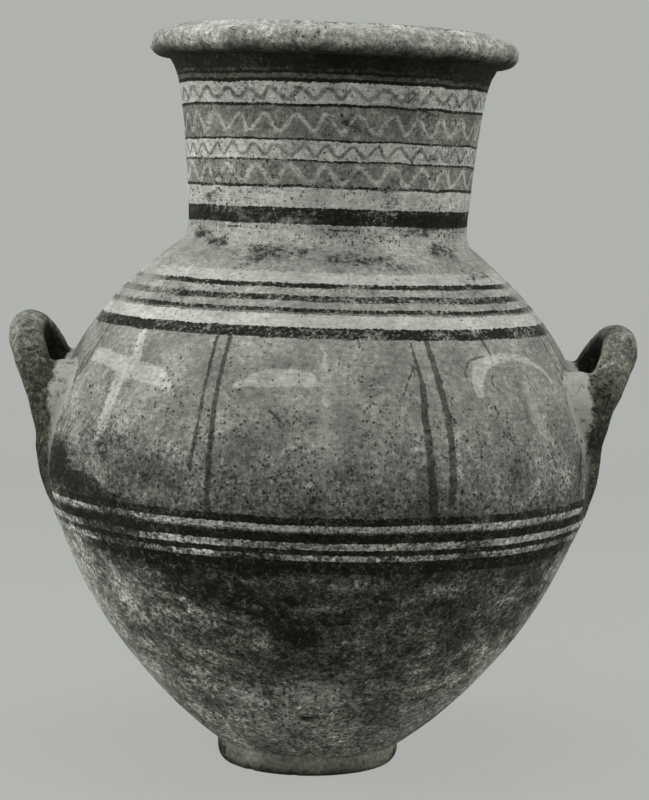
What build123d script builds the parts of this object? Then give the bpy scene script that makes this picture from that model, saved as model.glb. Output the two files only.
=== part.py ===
from build123d import *
from math import atan2, cos, degrees, hypot, radians, sin, sqrt
import os

# Tall storage jar with two loop handles, all of fired clay, in millimetres.
# The vessel axis is Z while the pieces are made, with the front of the jar at -Y and
# the handles at -X and +X. The finished jar leans a little to +X on a level foot.

# Foot
foot_height = 22.0
foot_seat_radius = 96.0
foot_seat_step = 3.0
foot_taper = 3.0
foot_bulge = 1.5
foot_ring_width = 28.0
foot_opening_flare = 3.0

# Floor and body walls
floor_thickness = 16.0
floor_inset = 4.0
belly_radius = 283.0
lower_joint_height = 200.0
upper_joint_height = 365.0
lower_wall_thickness = 14.0
belly_wall_thickness = 13.0
shoulder_wall_thickness = 12.0

# Neck and rim
neck_base_height = 531.0
neck_base_radius = 145.0
neck_height = 178.0
neck_flare = 21.5
neck_wall_thickness = 11.0
rim_overhang = 19.5
rim_nose_radius = 13.5
rim_crown_rise = 5.0
rim_crown_inset = 5.5
rim_inner_edge_drop = 9.0

# Handles
handle_roll_radius = 18.5
left_crown_height = 432.5
right_crown_height = 440.0
left_leg_stand_off = 20.4
right_leg_stand_off = 23.5
handle_half_width = 82.0
handle_rise = 56.0
handle_corner_radius = 52.0
handle_tilt = 64.6
handle_leg_bend_radius = 137.0
tail_length = 45.0
tail_middle_radius = 15.0
tail_middle_inset = 1.0
tail_end_radius = 9.0
tail_end_inset = 4.5

# Clay luted round each handle root
root_clay_proud = 25.0
root_clay_half_width = 29.0
root_clay_half_height = 38.0
root_clay_drop = 12.0
root_clay_tilt = 14.0

# Stance
lean_angle = 1.25
cut_overrun = 10.0
halving_count = 30

# Outline of the body from the foot to the neck: share of the rise from the foot to the
# neck base, and share of the belly radius.
body_outline_shares = [
    (0.057, 0.465),
    (0.163, 0.648),
    (0.297, 0.818),
    (0.428, 0.930),
    (0.546, 1.000),
    (0.672, 0.964),
    (0.790, 0.866),
    (0.886, 0.739),
    (0.949, 0.622),
]

# Outline of the neck above its base: share of the neck's height, and share of its flare.
# The neck draws in a little above its base before it flares.
neck_outline_shares = [
    (0.056, -0.139),
    (0.170, -0.139),
    (0.567, 0.140),
    (0.810, 0.419),
    (0.910, 0.613),
]

foot_top_radius = foot_seat_radius - foot_seat_step
foot_bottom_radius = foot_top_radius - foot_taper
foot_opening_radius = foot_bottom_radius - foot_ring_width
floor_radius = foot_seat_radius - floor_inset
floor_top_height = foot_height + floor_thickness
body_rise = neck_base_height - foot_height
neck_top_radius = neck_base_radius + neck_flare
rim_underside_height = neck_base_height + neck_height
foot_lean_depth = foot_bottom_radius * sin(radians(lean_angle))


def profile_point(radius, height):
    """A point of a half section, in the plane through the vessel axis."""
    return Vector(radius, 0, height)


def lathe(edges):
    """Turn a closed half section round the vessel axis."""
    return revolve(make_face(edges), Axis.Z)


def closed_to_axis(outline, bottom_height, top_height):
    """The edges of an outline, with its two ends joined to the axis and along it."""
    bottom_end = outline @ 0
    top_end = outline @ 1
    bottom = profile_point(0, bottom_height)
    top = profile_point(0, top_height)
    return [outline, Line(top_end, top), Line(top, bottom), Line(bottom, bottom_end)]


def body_outline_points():
    """Outer outline of the body wall, from the top of the foot to the neck base."""
    points = [profile_point(foot_seat_radius, foot_height)]
    for height_share, radius_share in body_outline_shares:
        height = foot_height + height_share * body_rise
        points.append(profile_point(radius_share * belly_radius, height))
    points.append(profile_point(neck_base_radius, neck_base_height))
    return points


def wall_thickness_at(height):
    """The wall thins from the bottom of the jar to its neck."""
    if height < lower_joint_height:
        return lower_wall_thickness
    if height < upper_joint_height:
        return belly_wall_thickness
    return shoulder_wall_thickness


def cavity_outline_points():
    """Inner outline of the body wall: the outer points set in square to the wall."""
    outer = body_outline_points()
    points = [profile_point(floor_radius, floor_top_height)]
    for before, here, after in zip(outer[1:], outer[2:], outer[3:]):
        along = (after - before).normalized()
        inward = Vector(-along.Z, 0, along.X)
        points.append(here + inward * wall_thickness_at(here.Z))
    points.append(profile_point(neck_base_radius - neck_wall_thickness, neck_base_height))
    return points


def wall_radius_at(height):
    """Outer radius of the body wall at a height, found by halving along its outline."""
    outline = Spline(*body_outline_points())
    below, above = 0, 1
    for _ in range(halving_count):
        middle = (below + above) / 2
        if (outline @ middle).Z < height:
            below = middle
        else:
            above = middle
    return (outline @ above).X


def body_envelope():
    """Everything inside the outer face of the body, solid."""
    outline = Spline(*body_outline_points())
    return lathe(closed_to_axis(outline, foot_height, neck_base_height))


def body_cavity():
    """The hollow of the body, from the floor to the neck base."""
    outline = Spline(*cavity_outline_points())
    return lathe(closed_to_axis(outline, floor_top_height, neck_base_height))


def level_slab(bottom_height, top_height):
    """A slab wider than the jar, to cut the walls at the potter's level joints."""
    width = 2 * (belly_radius + cut_overrun)
    height = top_height - bottom_height
    slab = Box(width, width, height, align=(Align.CENTER, Align.CENTER, Align.MIN))
    return Pos(0, 0, bottom_height) * slab


def foot_ring():
    """Ring foot, open underneath, made deep enough to be cut level after the lean."""
    bottom = -foot_lean_depth - cut_overrun
    outer_top = profile_point(foot_top_radius, foot_height)
    outer_middle = profile_point(
        (foot_top_radius + foot_bottom_radius) / 2 + foot_bulge, foot_height / 2
    )
    outer_low = profile_point(foot_bottom_radius, 0)
    outer_bottom = profile_point(foot_bottom_radius, bottom)
    inner_bottom = profile_point(foot_opening_radius + foot_opening_flare, bottom)
    inner_top = profile_point(foot_opening_radius, foot_height)
    ring = lathe(
        [
            ThreePointArc(outer_top, outer_middle, outer_low),
            Line(outer_low, outer_bottom),
            Line(outer_bottom, inner_bottom),
            Line(inner_bottom, inner_top),
            Line(inner_top, outer_top),
        ]
    )
    return ring


def floor_disc(envelope):
    """Thick disc that closes the body over the foot."""
    return envelope & level_slab(foot_height, floor_top_height)


def wall_section(envelope, cavity, bottom_height, top_height):
    """One stage of the body wall, between two level joints."""
    return (envelope - cavity) & level_slab(bottom_height, top_height)


def neck():
    """Tall concave neck that flares to the rim."""
    outer_points = [profile_point(neck_base_radius, neck_base_height)]
    for height_share, flare_share in neck_outline_shares:
        height = neck_base_height + height_share * neck_height
        outer_points.append(profile_point(neck_base_radius + flare_share * neck_flare, height))
    outer_points.append(profile_point(neck_top_radius, rim_underside_height))
    inset = Vector(neck_wall_thickness, 0, 0)
    inner_points = [point - inset for point in outer_points]
    outer = Spline(*outer_points)
    inner = Spline(*inner_points)
    return lathe([outer, Line(outer @ 1, inner @ 1), inner, Line(inner @ 0, outer @ 0)])


def rim_roll():
    """Thick out-turned rim with a round nose and a top that falls to the outside."""
    bore_radius = neck_top_radius - neck_wall_thickness
    rim_radius = neck_top_radius + rim_overhang
    rim_crown_height = rim_underside_height + 2 * rim_nose_radius + rim_crown_rise
    nose_centre_radius = rim_radius - rim_nose_radius
    nose_centre_height = rim_underside_height + rim_nose_radius
    inner_bottom = profile_point(bore_radius, rim_underside_height)
    nose_bottom = profile_point(nose_centre_radius, rim_underside_height)
    nose_tip = profile_point(rim_radius, nose_centre_height)
    nose_top = profile_point(nose_centre_radius, nose_centre_height + rim_nose_radius)
    crown = profile_point(bore_radius + rim_crown_inset, rim_crown_height)
    inner_top = profile_point(bore_radius, rim_crown_height - rim_inner_edge_drop)
    return lathe(
        [
            Line(inner_bottom, nose_bottom),
            ThreePointArc(nose_bottom, nose_tip, nose_top),
            TangentArc(nose_top, crown, tangent=Vector(-1, 0, 0)),
            Line(crown, inner_top),
            Line(inner_top, inner_bottom),
        ]
    )


def handle_plane(crown_height, leg_stand_off):
    """Tilted plane of the loop, with its x along the wall and its y up the legs. Its origin
    is between the legs, where their centre lines stand off the wall by the given length."""
    springing_height = crown_height - handle_rise * sin(radians(handle_tilt))
    leg_radius = wall_radius_at(springing_height) + leg_stand_off
    springing = Vector(sqrt(leg_radius**2 - handle_half_width**2), 0, springing_height)
    return Plane(origin=springing, x_dir=Vector(0, 1, 0), z_dir=Vector(
        sin(radians(handle_tilt)), 0, -cos(radians(handle_tilt))
    ))


def loop_arcs(plane):
    """The loop as a three-centred arch: two corner arcs and a flatter crown arc."""
    corner_x = handle_half_width - handle_corner_radius
    crown_radius = (
        (handle_half_width**2 + handle_rise**2 - 2 * handle_half_width * handle_corner_radius)
        / (2 * (handle_rise - handle_corner_radius))
    )
    crown_centre_y = handle_rise - crown_radius
    reach = hypot(corner_x, -crown_centre_y)
    tangent_x = corner_x + handle_corner_radius * corner_x / reach
    tangent_y = -handle_corner_radius * crown_centre_y / reach
    half_turn = atan2(tangent_y, tangent_x - corner_x) / 2
    corner_mid_x = corner_x + handle_corner_radius * cos(half_turn)
    corner_mid_y = handle_corner_radius * sin(half_turn)

    def at(x, y):
        return plane.from_local_coords(Vector(x, y, 0))

    return [
        ThreePointArc(
            at(-handle_half_width, 0), at(-corner_mid_x, corner_mid_y), at(-tangent_x, tangent_y)
        ),
        ThreePointArc(at(-tangent_x, tangent_y), at(0, handle_rise), at(tangent_x, tangent_y)),
        ThreePointArc(
            at(tangent_x, tangent_y), at(corner_mid_x, corner_mid_y), at(handle_half_width, 0)
        ),
    ]


def leg_bend(plane, side):
    """The leg below the arch bends from the tilt of the loop to plumb."""
    turn = radians(90 - handle_tilt)
    start = plane.from_local_coords(Vector(side * handle_half_width, 0, 0))
    centre = start + plane.z_dir * handle_leg_bend_radius

    def on_bend(angle):
        tilt = radians(handle_tilt) + angle
        return centre - Vector(sin(tilt), 0, -cos(tilt)) * handle_leg_bend_radius

    return ThreePointArc(start, on_bend(turn / 2), on_bend(turn))


def tail(top_point):
    """The end of the roll, drawn out thin down the wall."""
    middle = top_point - Vector(tail_middle_inset, 0, tail_length / 2)
    end = top_point - Vector(tail_end_inset, 0, tail_length)
    sections = [
        Pos(*top_point) * Circle(handle_roll_radius),
        Pos(*middle) * Circle(tail_middle_radius),
        Pos(*end) * Circle(tail_end_radius),
    ]
    return loft(sections)


def handle_roll(plane):
    """One clay roll bent to a loop, with its two ends drawn down the wall, at +X."""
    front_bend = leg_bend(plane, -1)
    back_bend = leg_bend(plane, 1)
    front_foot = front_bend @ 1
    back_foot = back_bend @ 1
    path = Wire([front_bend, *loop_arcs(plane), back_bend])
    start = path @ 0
    section = Pos(*start) * Circle(handle_roll_radius)
    roll = sweep(section, path=path)
    return roll + tail(front_foot) + tail(back_foot)


def root_clay_mound(plane, side):
    """Soft clay pressed round one root: half an egg lying on the wall, at +X."""
    springing = plane.origin
    azimuth = degrees(atan2(side * handle_half_width, springing.X))
    wall_radius = hypot(springing.X - handle_roll_radius, handle_half_width)
    egg = scale(
        Sphere(1), by=(root_clay_proud, root_clay_half_width, root_clay_half_height)
    )
    leaned_egg = Pos(wall_radius, 0, springing.Z - root_clay_drop) * Rot(0, -root_clay_tilt, 0) * egg
    return Rot(0, 0, azimuth) * leaned_egg


def mirrored(piece):
    """The same piece on the other side of the jar."""
    return mirror(piece, about=Plane.YZ)


def one_solid(shape):
    """The largest solid of a cut, as one solid."""
    return max(shape.solids(), key=lambda solid: solid.volume)


def stand_up(piece):
    """Lean the jar on its foot, with the loop handles centred over the origin."""
    sideways = -(left_crown_height + right_crown_height) / 2 * sin(radians(lean_angle))
    return Pos(sideways, 0, 0) * Rot(0, lean_angle, 0) * piece


def cut_level(piece):
    """Cut the foot flat at the ground."""
    width = 2 * (belly_radius + cut_overrun)
    ground = Box(width, width, belly_radius, align=(Align.CENTER, Align.CENTER, Align.MAX))
    return piece - ground


def build():
    envelope = body_envelope()
    cavity = body_cavity()
    pieces = {
        "foot_ring": foot_ring(),
        "floor_disc": floor_disc(envelope),
        "lower_wall": wall_section(envelope, cavity, floor_top_height, lower_joint_height),
        "belly_wall": wall_section(envelope, cavity, lower_joint_height, upper_joint_height),
        "shoulder_wall": wall_section(envelope, cavity, upper_joint_height, neck_base_height),
        "neck": neck(),
        "rim_roll": rim_roll(),
    }
    planes = {
        "right": handle_plane(right_crown_height, right_leg_stand_off),
        "left": handle_plane(left_crown_height, left_leg_stand_off),
    }
    for hand, plane in planes.items():
        roll = handle_roll(plane)
        made = {f"handle_{hand}": roll - envelope}
        for place, side in (("front", -1), ("back", 1)):
            mound = root_clay_mound(plane, side) - envelope - roll
            made[f"root_clay_{hand}_{place}"] = mound
        for name, piece in made.items():
            pieces[name] = mirrored(piece) if hand == "left" else piece
    return pieces


os.makedirs("parts", exist_ok=True)
for name, piece in build().items():
    standing = stand_up(one_solid(piece))
    if name == "foot_ring":
        standing = one_solid(cut_level(standing))
    standing.label = name
    export_step(standing, f"parts/{name}.step")
    print(name, "volume", round(standing.volume), "solids", len(standing.solids()))
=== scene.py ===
"""Tall two-handled storage jar of coiled, turned and slip-painted clay, built over its CAD frame."""

import math

import bpy
import numpy as np
from mathutils import Matrix, Vector


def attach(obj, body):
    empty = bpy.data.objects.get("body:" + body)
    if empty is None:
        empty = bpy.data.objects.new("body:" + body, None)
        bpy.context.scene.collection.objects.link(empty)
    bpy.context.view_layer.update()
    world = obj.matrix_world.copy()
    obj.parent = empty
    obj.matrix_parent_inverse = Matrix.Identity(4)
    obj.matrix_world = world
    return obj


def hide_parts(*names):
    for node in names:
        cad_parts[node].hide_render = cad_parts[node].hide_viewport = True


bl_info = {
    "name": "Painted storage jar",
    "version": (1, 0, 0),
    "blender": (4, 5, 0),
    "location": "3D View > Sidebar > Storage Jar",
    "description": "Builds a tall two-handled storage jar of slip-painted clay over its CAD frame",
    "category": "Add Mesh",
}

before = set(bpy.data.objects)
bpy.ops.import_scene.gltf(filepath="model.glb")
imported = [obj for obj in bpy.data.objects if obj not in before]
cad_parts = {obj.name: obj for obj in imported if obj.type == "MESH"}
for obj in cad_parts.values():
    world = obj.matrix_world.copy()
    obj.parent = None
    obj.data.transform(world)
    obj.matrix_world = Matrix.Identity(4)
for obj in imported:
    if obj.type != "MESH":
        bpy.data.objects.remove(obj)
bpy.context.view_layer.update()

# The jar is worked out upright and in millimetres, with its front at -Y, and then leaned.
MM = 0.001
LEAN = math.radians(1.25)
LEAN_PIVOT_HEIGHT = 440.0

# Half section of the jar: radius and height of points on each smooth line.
FOOT_TOP = 22.0
FLOOR_TOP = 38.0
LOWER_JOINT = 200.0
UPPER_JOINT = 365.0
NECK_BASE = 531.0
NECK_TOP = 709.0
BODY_OUTSIDE = [
    (96.0, 22.0), (131.6, 51.0), (183.4, 105.0), (231.5, 173.2), (263.2, 239.9), (283.0, 299.9),
    (272.8, 364.0), (245.1, 424.1), (209.1, 473.0), (176.0, 505.0), (145.0, 531.0),
]
BODY_INSIDE = [
    (92.0, 38.0), (172.6, 113.9), (219.5, 180.3), (251.2, 244.8), (270.0, 300.9), (260.4, 360.2),
    (234.7, 418.0), (200.0, 465.2), (167.9, 496.1), (134.0, 531.0),
]
NECK_OUTSIDE = [
    (145.0, 531.0), (142.0, 541.0), (142.0, 561.3), (148.0, 631.9), (154.0, 675.2), (158.2, 693.0),
    (166.5, 709.0),
]
NECK_WALL = 11.0
RIM_SECTION = {
    "bore": 155.5, "crown": 161.0, "crown_height": 741.0, "inner_edge_height": 732.0,
    "nose_centre": 172.5, "nose_radius": 13.5,
}
FOOT_SECTION = {
    "top": 93.0, "bottom": 90.0, "bulge": 1.5, "opening": 62.0, "opening_flare": 3.0,
    "worn_off": 2.0, "worn_height": 1.6, "left_at_worn_height": 0.4,
}

# Heights of the mesh rows on the smaller pieces, and how many rings each face of the floor disc has.
RIM_ROW = 1.6
FOOT_ROW = 1.5
FOOT_BORE_ROW = 4.0
FLOOR_EDGE_ROW = 2.0
FLOOR_RINGS = 10

# The handle roll: a three-centred arch whose legs bend to plumb and are drawn out down the wall.
ROLL_RADIUS = 18.5
HALF_WIDTH = 82.0
RISE = 56.0
CORNER_RADIUS = 52.0
TILT = math.radians(64.6)
LEG_BEND_RADIUS = 137.0
TAIL_LENGTH = 45.0
TAIL_RADII = (18.5, 15.0, 9.0)
TAIL_INSETS = (0.0, 1.0, 4.5)
CROWN_HEIGHTS = {"left": 432.5, "right": 440.0}
HANDLE_SEEDS = {"left": 40, "right": 50}
SPRINGING_REACH = 274.5

# The clay smeared round each handle root: an egg-shaped mound behind the leg, and how wide the clay is
# drawn into the roll and the wall, how far it reaches from them, how deep it goes under them and how
# far its face is worn back.
MOUND_SIZE = (25.0, 29.0, 38.0)
MOUND_DROP = 12.0
MOUND_TILT = math.radians(14.0)
SMEAR_WIDTH = 14.0
MOUND_SMEAR_WIDTH = 9.0
SMEAR_REACH = 15.0
MOUND_REACH = 10.0
CLAY_OVERLAP = 4.0
SMEAR_SHRINK = 0.3
# The roll's lumps: strength and size of each, and the most that they rise or sink about a level that
# lies as far under the true roll. Then how far the worn wall lies under its outline.
LUMPS = ((0.9, 26), (0.45, 10))
LUMP_LIMIT = 1.2
WALL_LOSS = 0.9
# How far the grid that shapes a handle reaches past the roll, and where it starts inside the wall.
GRID_BELOW = 40.0
GRID_ABOVE = 26.0
GRID_BESIDE = 48.0
GRID_START = 206.0
# Farther off than anything on that grid.
FAR = 99.0

# Millimetres across the painted chart of the body for one radian of azimuth, and how far off a brush
# stroke still counts.
CHART_RADIUS = 265.0
STROKE_FAR = 60.0

# Sizes of the patterns in the clay and slip, in millimetres. Single grit and single chips of slip are
# well under 1 mm, too fine to show, so they are drawn as the finest detail of clusters of these sizes.
GRIT_CLUSTER = 5.0
SOIL_CLOUD = 48.0
STREAK_LENGTH = 20.0
STREAK_HEIGHT = 5 / 3
SCUFF_SPACING = 13.0
SCUFF_BREAK = 9.0
PIT_SPACING = 3.0
PIT_CROWD = 46.0
PIT_EDGE = 2.2
PIT_RAGGEDNESS = 5.0
SLIP_FLECK = 3.4
SLIP_PATCH = 34.0
BAND_WAVER = 45.0
BAND_EDGE = 3.4
WAVE_WAVER = 48.0
STROKE_EDGE = 6.0
SMEAR_EDGE = 9.0
# Edges of the pale and dark patches, stains and painted light and shade alike: size, strength, how many
# times they are drawn out round the jar and pressed flat up it, and roughness.
PALE_PATCH_EDGE = (22.0, 3.0, 1.25, 0.75)
DARK_PATCH_EDGE = (10.0, 4.6, 1.4, 0.9)

# Slip paint round the jar. Each zone: its lowest and highest height, then the height at which each
# band starts, going up, with how much of it white, dark and thin slip cover.
BARE, WASH = (0, 0, 0), (0, 0, 1)
BODY_BANDS = (
    (225, 295, (
        (233.2, (0, 0.95, 0)), (245.6, (0.58, 0, 0)), (251.3, (0, 0.92, 0)), (256.9, (0.74, 0, 0)),
        (263.8, (0, 0.97, 0)), (273.0, (0.36, 0.2, 0)), (275.0, (0.8, 0, 0)), (280.6, (0, 0.8, 0)),
        (288.3, BARE),
    )),
    (440, 520, (
        (446.3, (0, 0.84, 0)), (456.0, (1.1, 0, 0)), (467.2, (0, 0.3, 1)), (469.3, (0, 0.85, 0)),
        (472.7, (0.2, 0, 0)), (479.0, (0, 0.74, 0)), (484.6, (0.36, 0, 0)), (491.2, (0, 0.9, 0)),
        (495.4, (1.1, 0, 0)), (505.3, (0.42, 0, 0)), (514.0, BARE),
    )),
)
NECK_BANDS = (
    (535, 711, (
        (543.6, (0, 0.42, 0)), (545.7, BARE), (549.0, (0, 1.1, 0)), (557.5, (0, 0.95, 0)),
        (565.0, (0.95, 0, 0)),
        (583.4, (0, 0.82, 0)), (586.0, WASH), (608.4, (0, 0.8, 0)), (610.4, (0.82, 0, 0)),
        (628.2, (0, 0.88, 0)), (630.2, WASH), (660.3, (0, 0.93, 0)), (662.9, (0.88, 0, 0)),
        # The dark bands just under the rim are laid thicker than most, so that wear leaves them darker:
        # partly painted shade under the rim.
        (683.0, (0, 1.4, 0)), (686.6, (0, 0.2, 0.35)), (690.4, (0, 1.3, 0)), (693.4, (0, 0.6, 0.3)),
        (696.4, (0, 1.0, 0.3)),
    )),
)
# Wavy lines round the neck: height, swing, number of waves, half width, and 1 for pale or 0 for dark.
NECK_WAVES = (
    (673.0, 4.7, 35, 2.1, 0), (645.5, 8.0, 30, 1.9, 1),
    (619.2, 4.9, 38, 1.7, 0), (597.0, 7.6, 27, 2.3, 1),
)
# Brush strokes in the panels: azimuth in degrees and height of points on each, and half widths at its
# two ends. The back has the same panels as the front.
DARK_STROKES = (
    (((-25.0, 444), (-24.5, 400.8), (-24.3, 369.5), (-24.5, 326)), 1.6, 1.7),
    (((-21.8, 445), (-21.6, 392.8), (-20.9, 342.2), (-20.7, 290)), 1.9, 2.9),
    (((20.5, 445), (21.5, 408.8)), 1.3, 2.2),
    (((21.5, 408.8), (21.1, 378.9), (21.5, 343.6), (22.3, 288)), 3.2, 4.3),
    (((24.6, 446), (25.6, 403.5), (26.2, 378.8), (26.1, 343.3), (25.9, 302)), 3.3, 3.4),
    (((-64.1, 452), (-63.4, 430.0), (-64.3, 403.6), (-67.8, 377.7), (-70.6, 342.6)), 1.6, 1.4),
    (((-66.0, 419.6), (-66.4, 401.8), (-69.5, 384.5), (-73.0, 350.0)), 1.4, 1.4),
    ((
        (67.6, 451), (67.5, 429.8), (68.6, 404.9), (70.2, 379.5), (69.1, 358.8), (64.8, 329.9), (63.7, 298.3)
    ), 1.5, 1.5),
    (((73.9, 449), (73.2, 420.9), (76.4, 399.3), (75.5, 372.7), (73.4, 353.2)), 1.6, 1.4),
    (((40.5, 452), (41.6, 436.0)), 2.6, 2.0),
    (((39.5, 434.0), (34.6, 430.0), (32.4, 420.0), (32.6, 407.0)), 1.0, 0.6),
    (((40.6, 402.0), (39.0, 410.0), (40.2, 418.0)), 0.9, 0.7),
    (((20.3, 426.0), (18.4, 412.0), (17.0, 399.0)), 0.8, 0.6),
    (((-10.1, 381.9), (-8.6, 377.0), (-7.5, 372.0)), 1.3, 1.0),
)
PALE_STROKES = (
    (((-61.5, 416.5), (-56.4, 415.8), (-49.4, 411.0), (-43.8, 407.6), (-39.5, 406.5)), 6.0, 8.6),
    (((-39.5, 406.5), (-35.6, 402.7), (-33.6, 396.5)), 8.6, 5.4),
    (((-47.5, 408.0), (-47.8, 390.0), (-48.0, 370.0), (-48.4, 343.0)), 8.4, 6.2),
    (((-47.2, 440.0), (-46.0, 428.0), (-45.2, 419.5)), 5.0, 5.6),
    (((-17.8, 402.5), (-14.6, 407.5), (-10.7, 410.5)), 2.2, 8.4),
    (((-10.7, 410.5), (-6.0, 412.0), (-2.8, 410.5)), 8.4, 6.6),
    (((-0.2, 439.1), (0.7, 432.2), (0.1, 425.1), (1.2, 420.0)), 1.4, 1.5),
    (((0.6, 392.6), (1.2, 391.4)), 3.0, 3.4),
    (((35.0, 401.0), (35.2, 411.0), (36.6, 422.0)), 5.0, 8.6),
    (((36.6, 422.0), (38.6, 428.5), (43.0, 431.0)), 8.0, 4.4),
    (((43.0, 431.0), (48.5, 432.5), (54.0, 428.0), (59.0, 418.0), (61.0, 407.0)), 4.0, 1.8),
    (((-24.3, 101.8), (-21.6, 96.0)), 6.0, 5.8),
    (((-21.0, 91.5), (-20.2, 90.6)), 5.8, 5.8),
    (((-19.0, 98.0), (-15.5, 104.0)), 5.4, 5.8),
    (((-16.0, 93.0), (-14.0, 90.7)), 5.6, 6.2),
)
# Soft patches: azimuth in degrees, height, half width and half height, and strength.
# Dark patches of fire-blackening and soil. Those just under the rim, at 701 and 703 mm high, are partly
# painted shade under it. The three at the far left, from 297 to 328 mm high below the left handle's front
# root, are partly its painted shadow.
SOOT_AND_SHADE_PATCHES = (
    (-72, 328, 26, 44, 1.4), (-64, 310, 36, 26, 1.5), (-54, 297, 46, 15, 1.4), (-44, 286, 50, 12, 1.0),
    (-46, 262, 80, 24, 1.1), (-14, 262, 60, 12, 0.55), (-32, 232, 56, 15, 1.0), (-14, 238, 44, 15, 1.3),
    (-26, 212, 46, 22, 1.2), (-17, 203, 28, 20, 1.1), (-10, 186, 26, 14, 1.3), (-3, 172, 26, 18, 1.5),
    (5, 189, 26, 12, 1.1), (-2, 205, 36, 14, 0.7), (20, 195, 70, 40, 0.5), (6, 146, 36, 10, 0.6),
    (4, 78, 30, 6, 0.62), (-1, 74, 16, 5, 0.75), (33, 150, 44, 20, 0.45), (-22, 125, 32, 18, 0.5),
    (-80, 8, 130, 26, 0.95), (84, 6, 90, 16, 0.95), (-30, 1, 160, 5, 0.6), (-60, 536, 40, 7, 0.85),
    (-46, 530, 44, 6, 0.9), (-22, 522, 90, 10, 0.74), (10, 518, 80, 9, 0.68), (50, 528, 60, 8, 0.78),
    (58, 506, 60, 12, 0.5), (22, 512, 60, 6, 0.45), (-42, 479, 56, 14, 0.5), (-48, 593, 60, 7, 0.6),
    (48, 672, 50, 10, 0.5), (44, 618, 50, 9, 0.5), (8, 645, 60, 12, 0.5), (30, 543, 110, 5, 0.6),
    (50, 498, 40, 10, 0.4), (-46, 340, 40, 26, 0.6), (-36, 316, 40, 16, 0.45), (60, 701, 220, 15, 1.2),
    (0, 703, 120, 12, 0.8), (48, 556, 120, 9, 1.3), (-48, 555, 110, 9, 0.72), (-52, 574, 70, 12, 0.5),
    (24, 572, 40, 9, 0.42), (-30, 640, 60, 30, 0.34), (30, 655, 70, 26, 0.34),
)
# Pale patches of worn clay and pale paint. Those at the sides of the body, from 70 to 90 degrees each way,
# are partly painted light that brightens the jar towards its outline.
PALE_AND_SIDE_LIGHT_PATCHES = (
    (-88, 232, 130, 30, 1.7), (-86, 190, 150, 36, 1.6), (-84, 145, 140, 34, 1.4),
    (-80, 100, 130, 32, 1.1), (-48, 200, 50, 34, 0.8), (3, 104, 44, 16, 0.8), (-12, 60, 54, 22, 0.7),
    (14, 60, 54, 14, 0.45), (46, 74, 70, 20, 0.6), (52, 34, 80, 12, 1.2), (8, 30, 70, 8, 0.8),
    (70, 110, 60, 36, 1.1), (84, 165, 80, 50, 1.4), (88, 225, 80, 44, 1.4), (-88, 262, 90, 34, 1.3),
    (88, 270, 60, 30, 0.8), (0.8, 392, 26, 20, 0.5), (0.9, 411, 10, 34, 0.8), (1.3, 362, 10, 32, 1.2),
    (50, 392, 10, 24, 1.0), (51, 362, 9, 28, 1.0), (-40, 350, 46, 34, 0.3), (-86, 378, 46, 80, 1.0),
    (85, 380, 56, 100, 1.0), (-8, 378, 30, 10, 0.3), (-36, 512, 60, 14, 0.7), (-70, 498, 80, 34, 1.2),
    (80, 490, 60, 40, 1.0), (5, 508, 100, 8, 0.45), (-86, 452, 40, 30, 1.0), (84, 450, 34, 26, 0.8),
    (10, 221, 40, 8, 0.5), (26, 213, 36, 10, 0.45), (-5, 227, 30, 6, 0.4), (-52, 645, 70, 14, 0.7),
    (-40, 557, 100, 10, 0.5), (20, 656, 40, 8, 0.4), (-10, 552, 60, 7, 0.42), (-42, 553, 30, 5, 0.3),
    (-77, 428, 44, 30, 0.9), (77, 428, 44, 30, 0.8),
)


def linear(hex_colour, alpha=1.0):
    """A linear colour from an sRGB hex value."""
    channels = [int(hex_colour[i:i + 2], 16) / 255 for i in (1, 3, 5)]
    curved = [c / 12.92 if c <= 0.04045 else ((c + 0.055) / 1.055) ** 2.4 for c in channels]
    return (*curved, alpha)


def colour_setting(name, description, hex_colour):
    """A colour among the jar's settings."""
    return bpy.props.FloatVectorProperty(
        name=name, description=description, size=4, subtype="COLOR", default=linear(hex_colour),
        min=0, max=1,
    )


class StorageJarSettings(bpy.types.PropertyGroup):
    """Sizes and colours of the jar."""

    steps_round: bpy.props.IntProperty(
        name="Steps round", description="Mesh steps round the jar", default=600, min=48
    )
    row_height: bpy.props.FloatProperty(
        name="Row height", description="Height of one mesh row on the wall", default=0.003, unit="LENGTH"
    )
    ridge_depth: bpy.props.FloatProperty(
        name="Turning ridges", description="Depth of the ridges left by turning", default=0.00022,
        unit="LENGTH", precision=5,
    )
    unevenness: bpy.props.FloatProperty(
        name="Unevenness", description="How far the wall wanders from a true turned outline",
        default=0.0005, unit="LENGTH", precision=5,
    )
    roll_grid: bpy.props.FloatProperty(
        name="Handle detail", description="Grid that the handle clay is shaped on", default=0.002,
        unit="LENGTH",
    )
    clay: colour_setting("Clay", "Fired clay where no slip is left", "#9b9b93")
    white_slip: colour_setting("White slip", "Chalky white slip of the light bands", "#aeb0a8")
    dark_slip: colour_setting("Dark slip", "Iron slip of the dark bands and lines", "#171711")
    grey_slip: colour_setting("Thin slip", "Thin slip wash of the grey bands", "#6b6b64")
    # This colour also paints the shade under the rim and the shadow below the left handle's front root.
    soot_and_shade: colour_setting("Soot", "Smoke and soil in the surface", "#15150f")
    floor: colour_setting("Floor", "Plain pale paper under and behind the jar", "#b2b5b0")


def stand_up(points):
    """Upright points in millimetres, leaned as the jar stands, in metres."""
    c, s = math.cos(LEAN), math.sin(LEAN)
    x, y, z = np.moveaxis(np.asarray(points, float), -1, 0)
    return np.stack([x * c + (z - LEAN_PIVOT_HEIGHT) * s, y, z * c - x * s], axis=-1) * MM


def lean_directions(directions):
    """Upright directions turned with the jar's lean."""
    c, s = math.cos(LEAN), math.sin(LEAN)
    x, y, z = np.moveaxis(np.asarray(directions, float), -1, 0)
    return np.stack([x * c + z * s, y, z * c - x * s], axis=-1)


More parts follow.
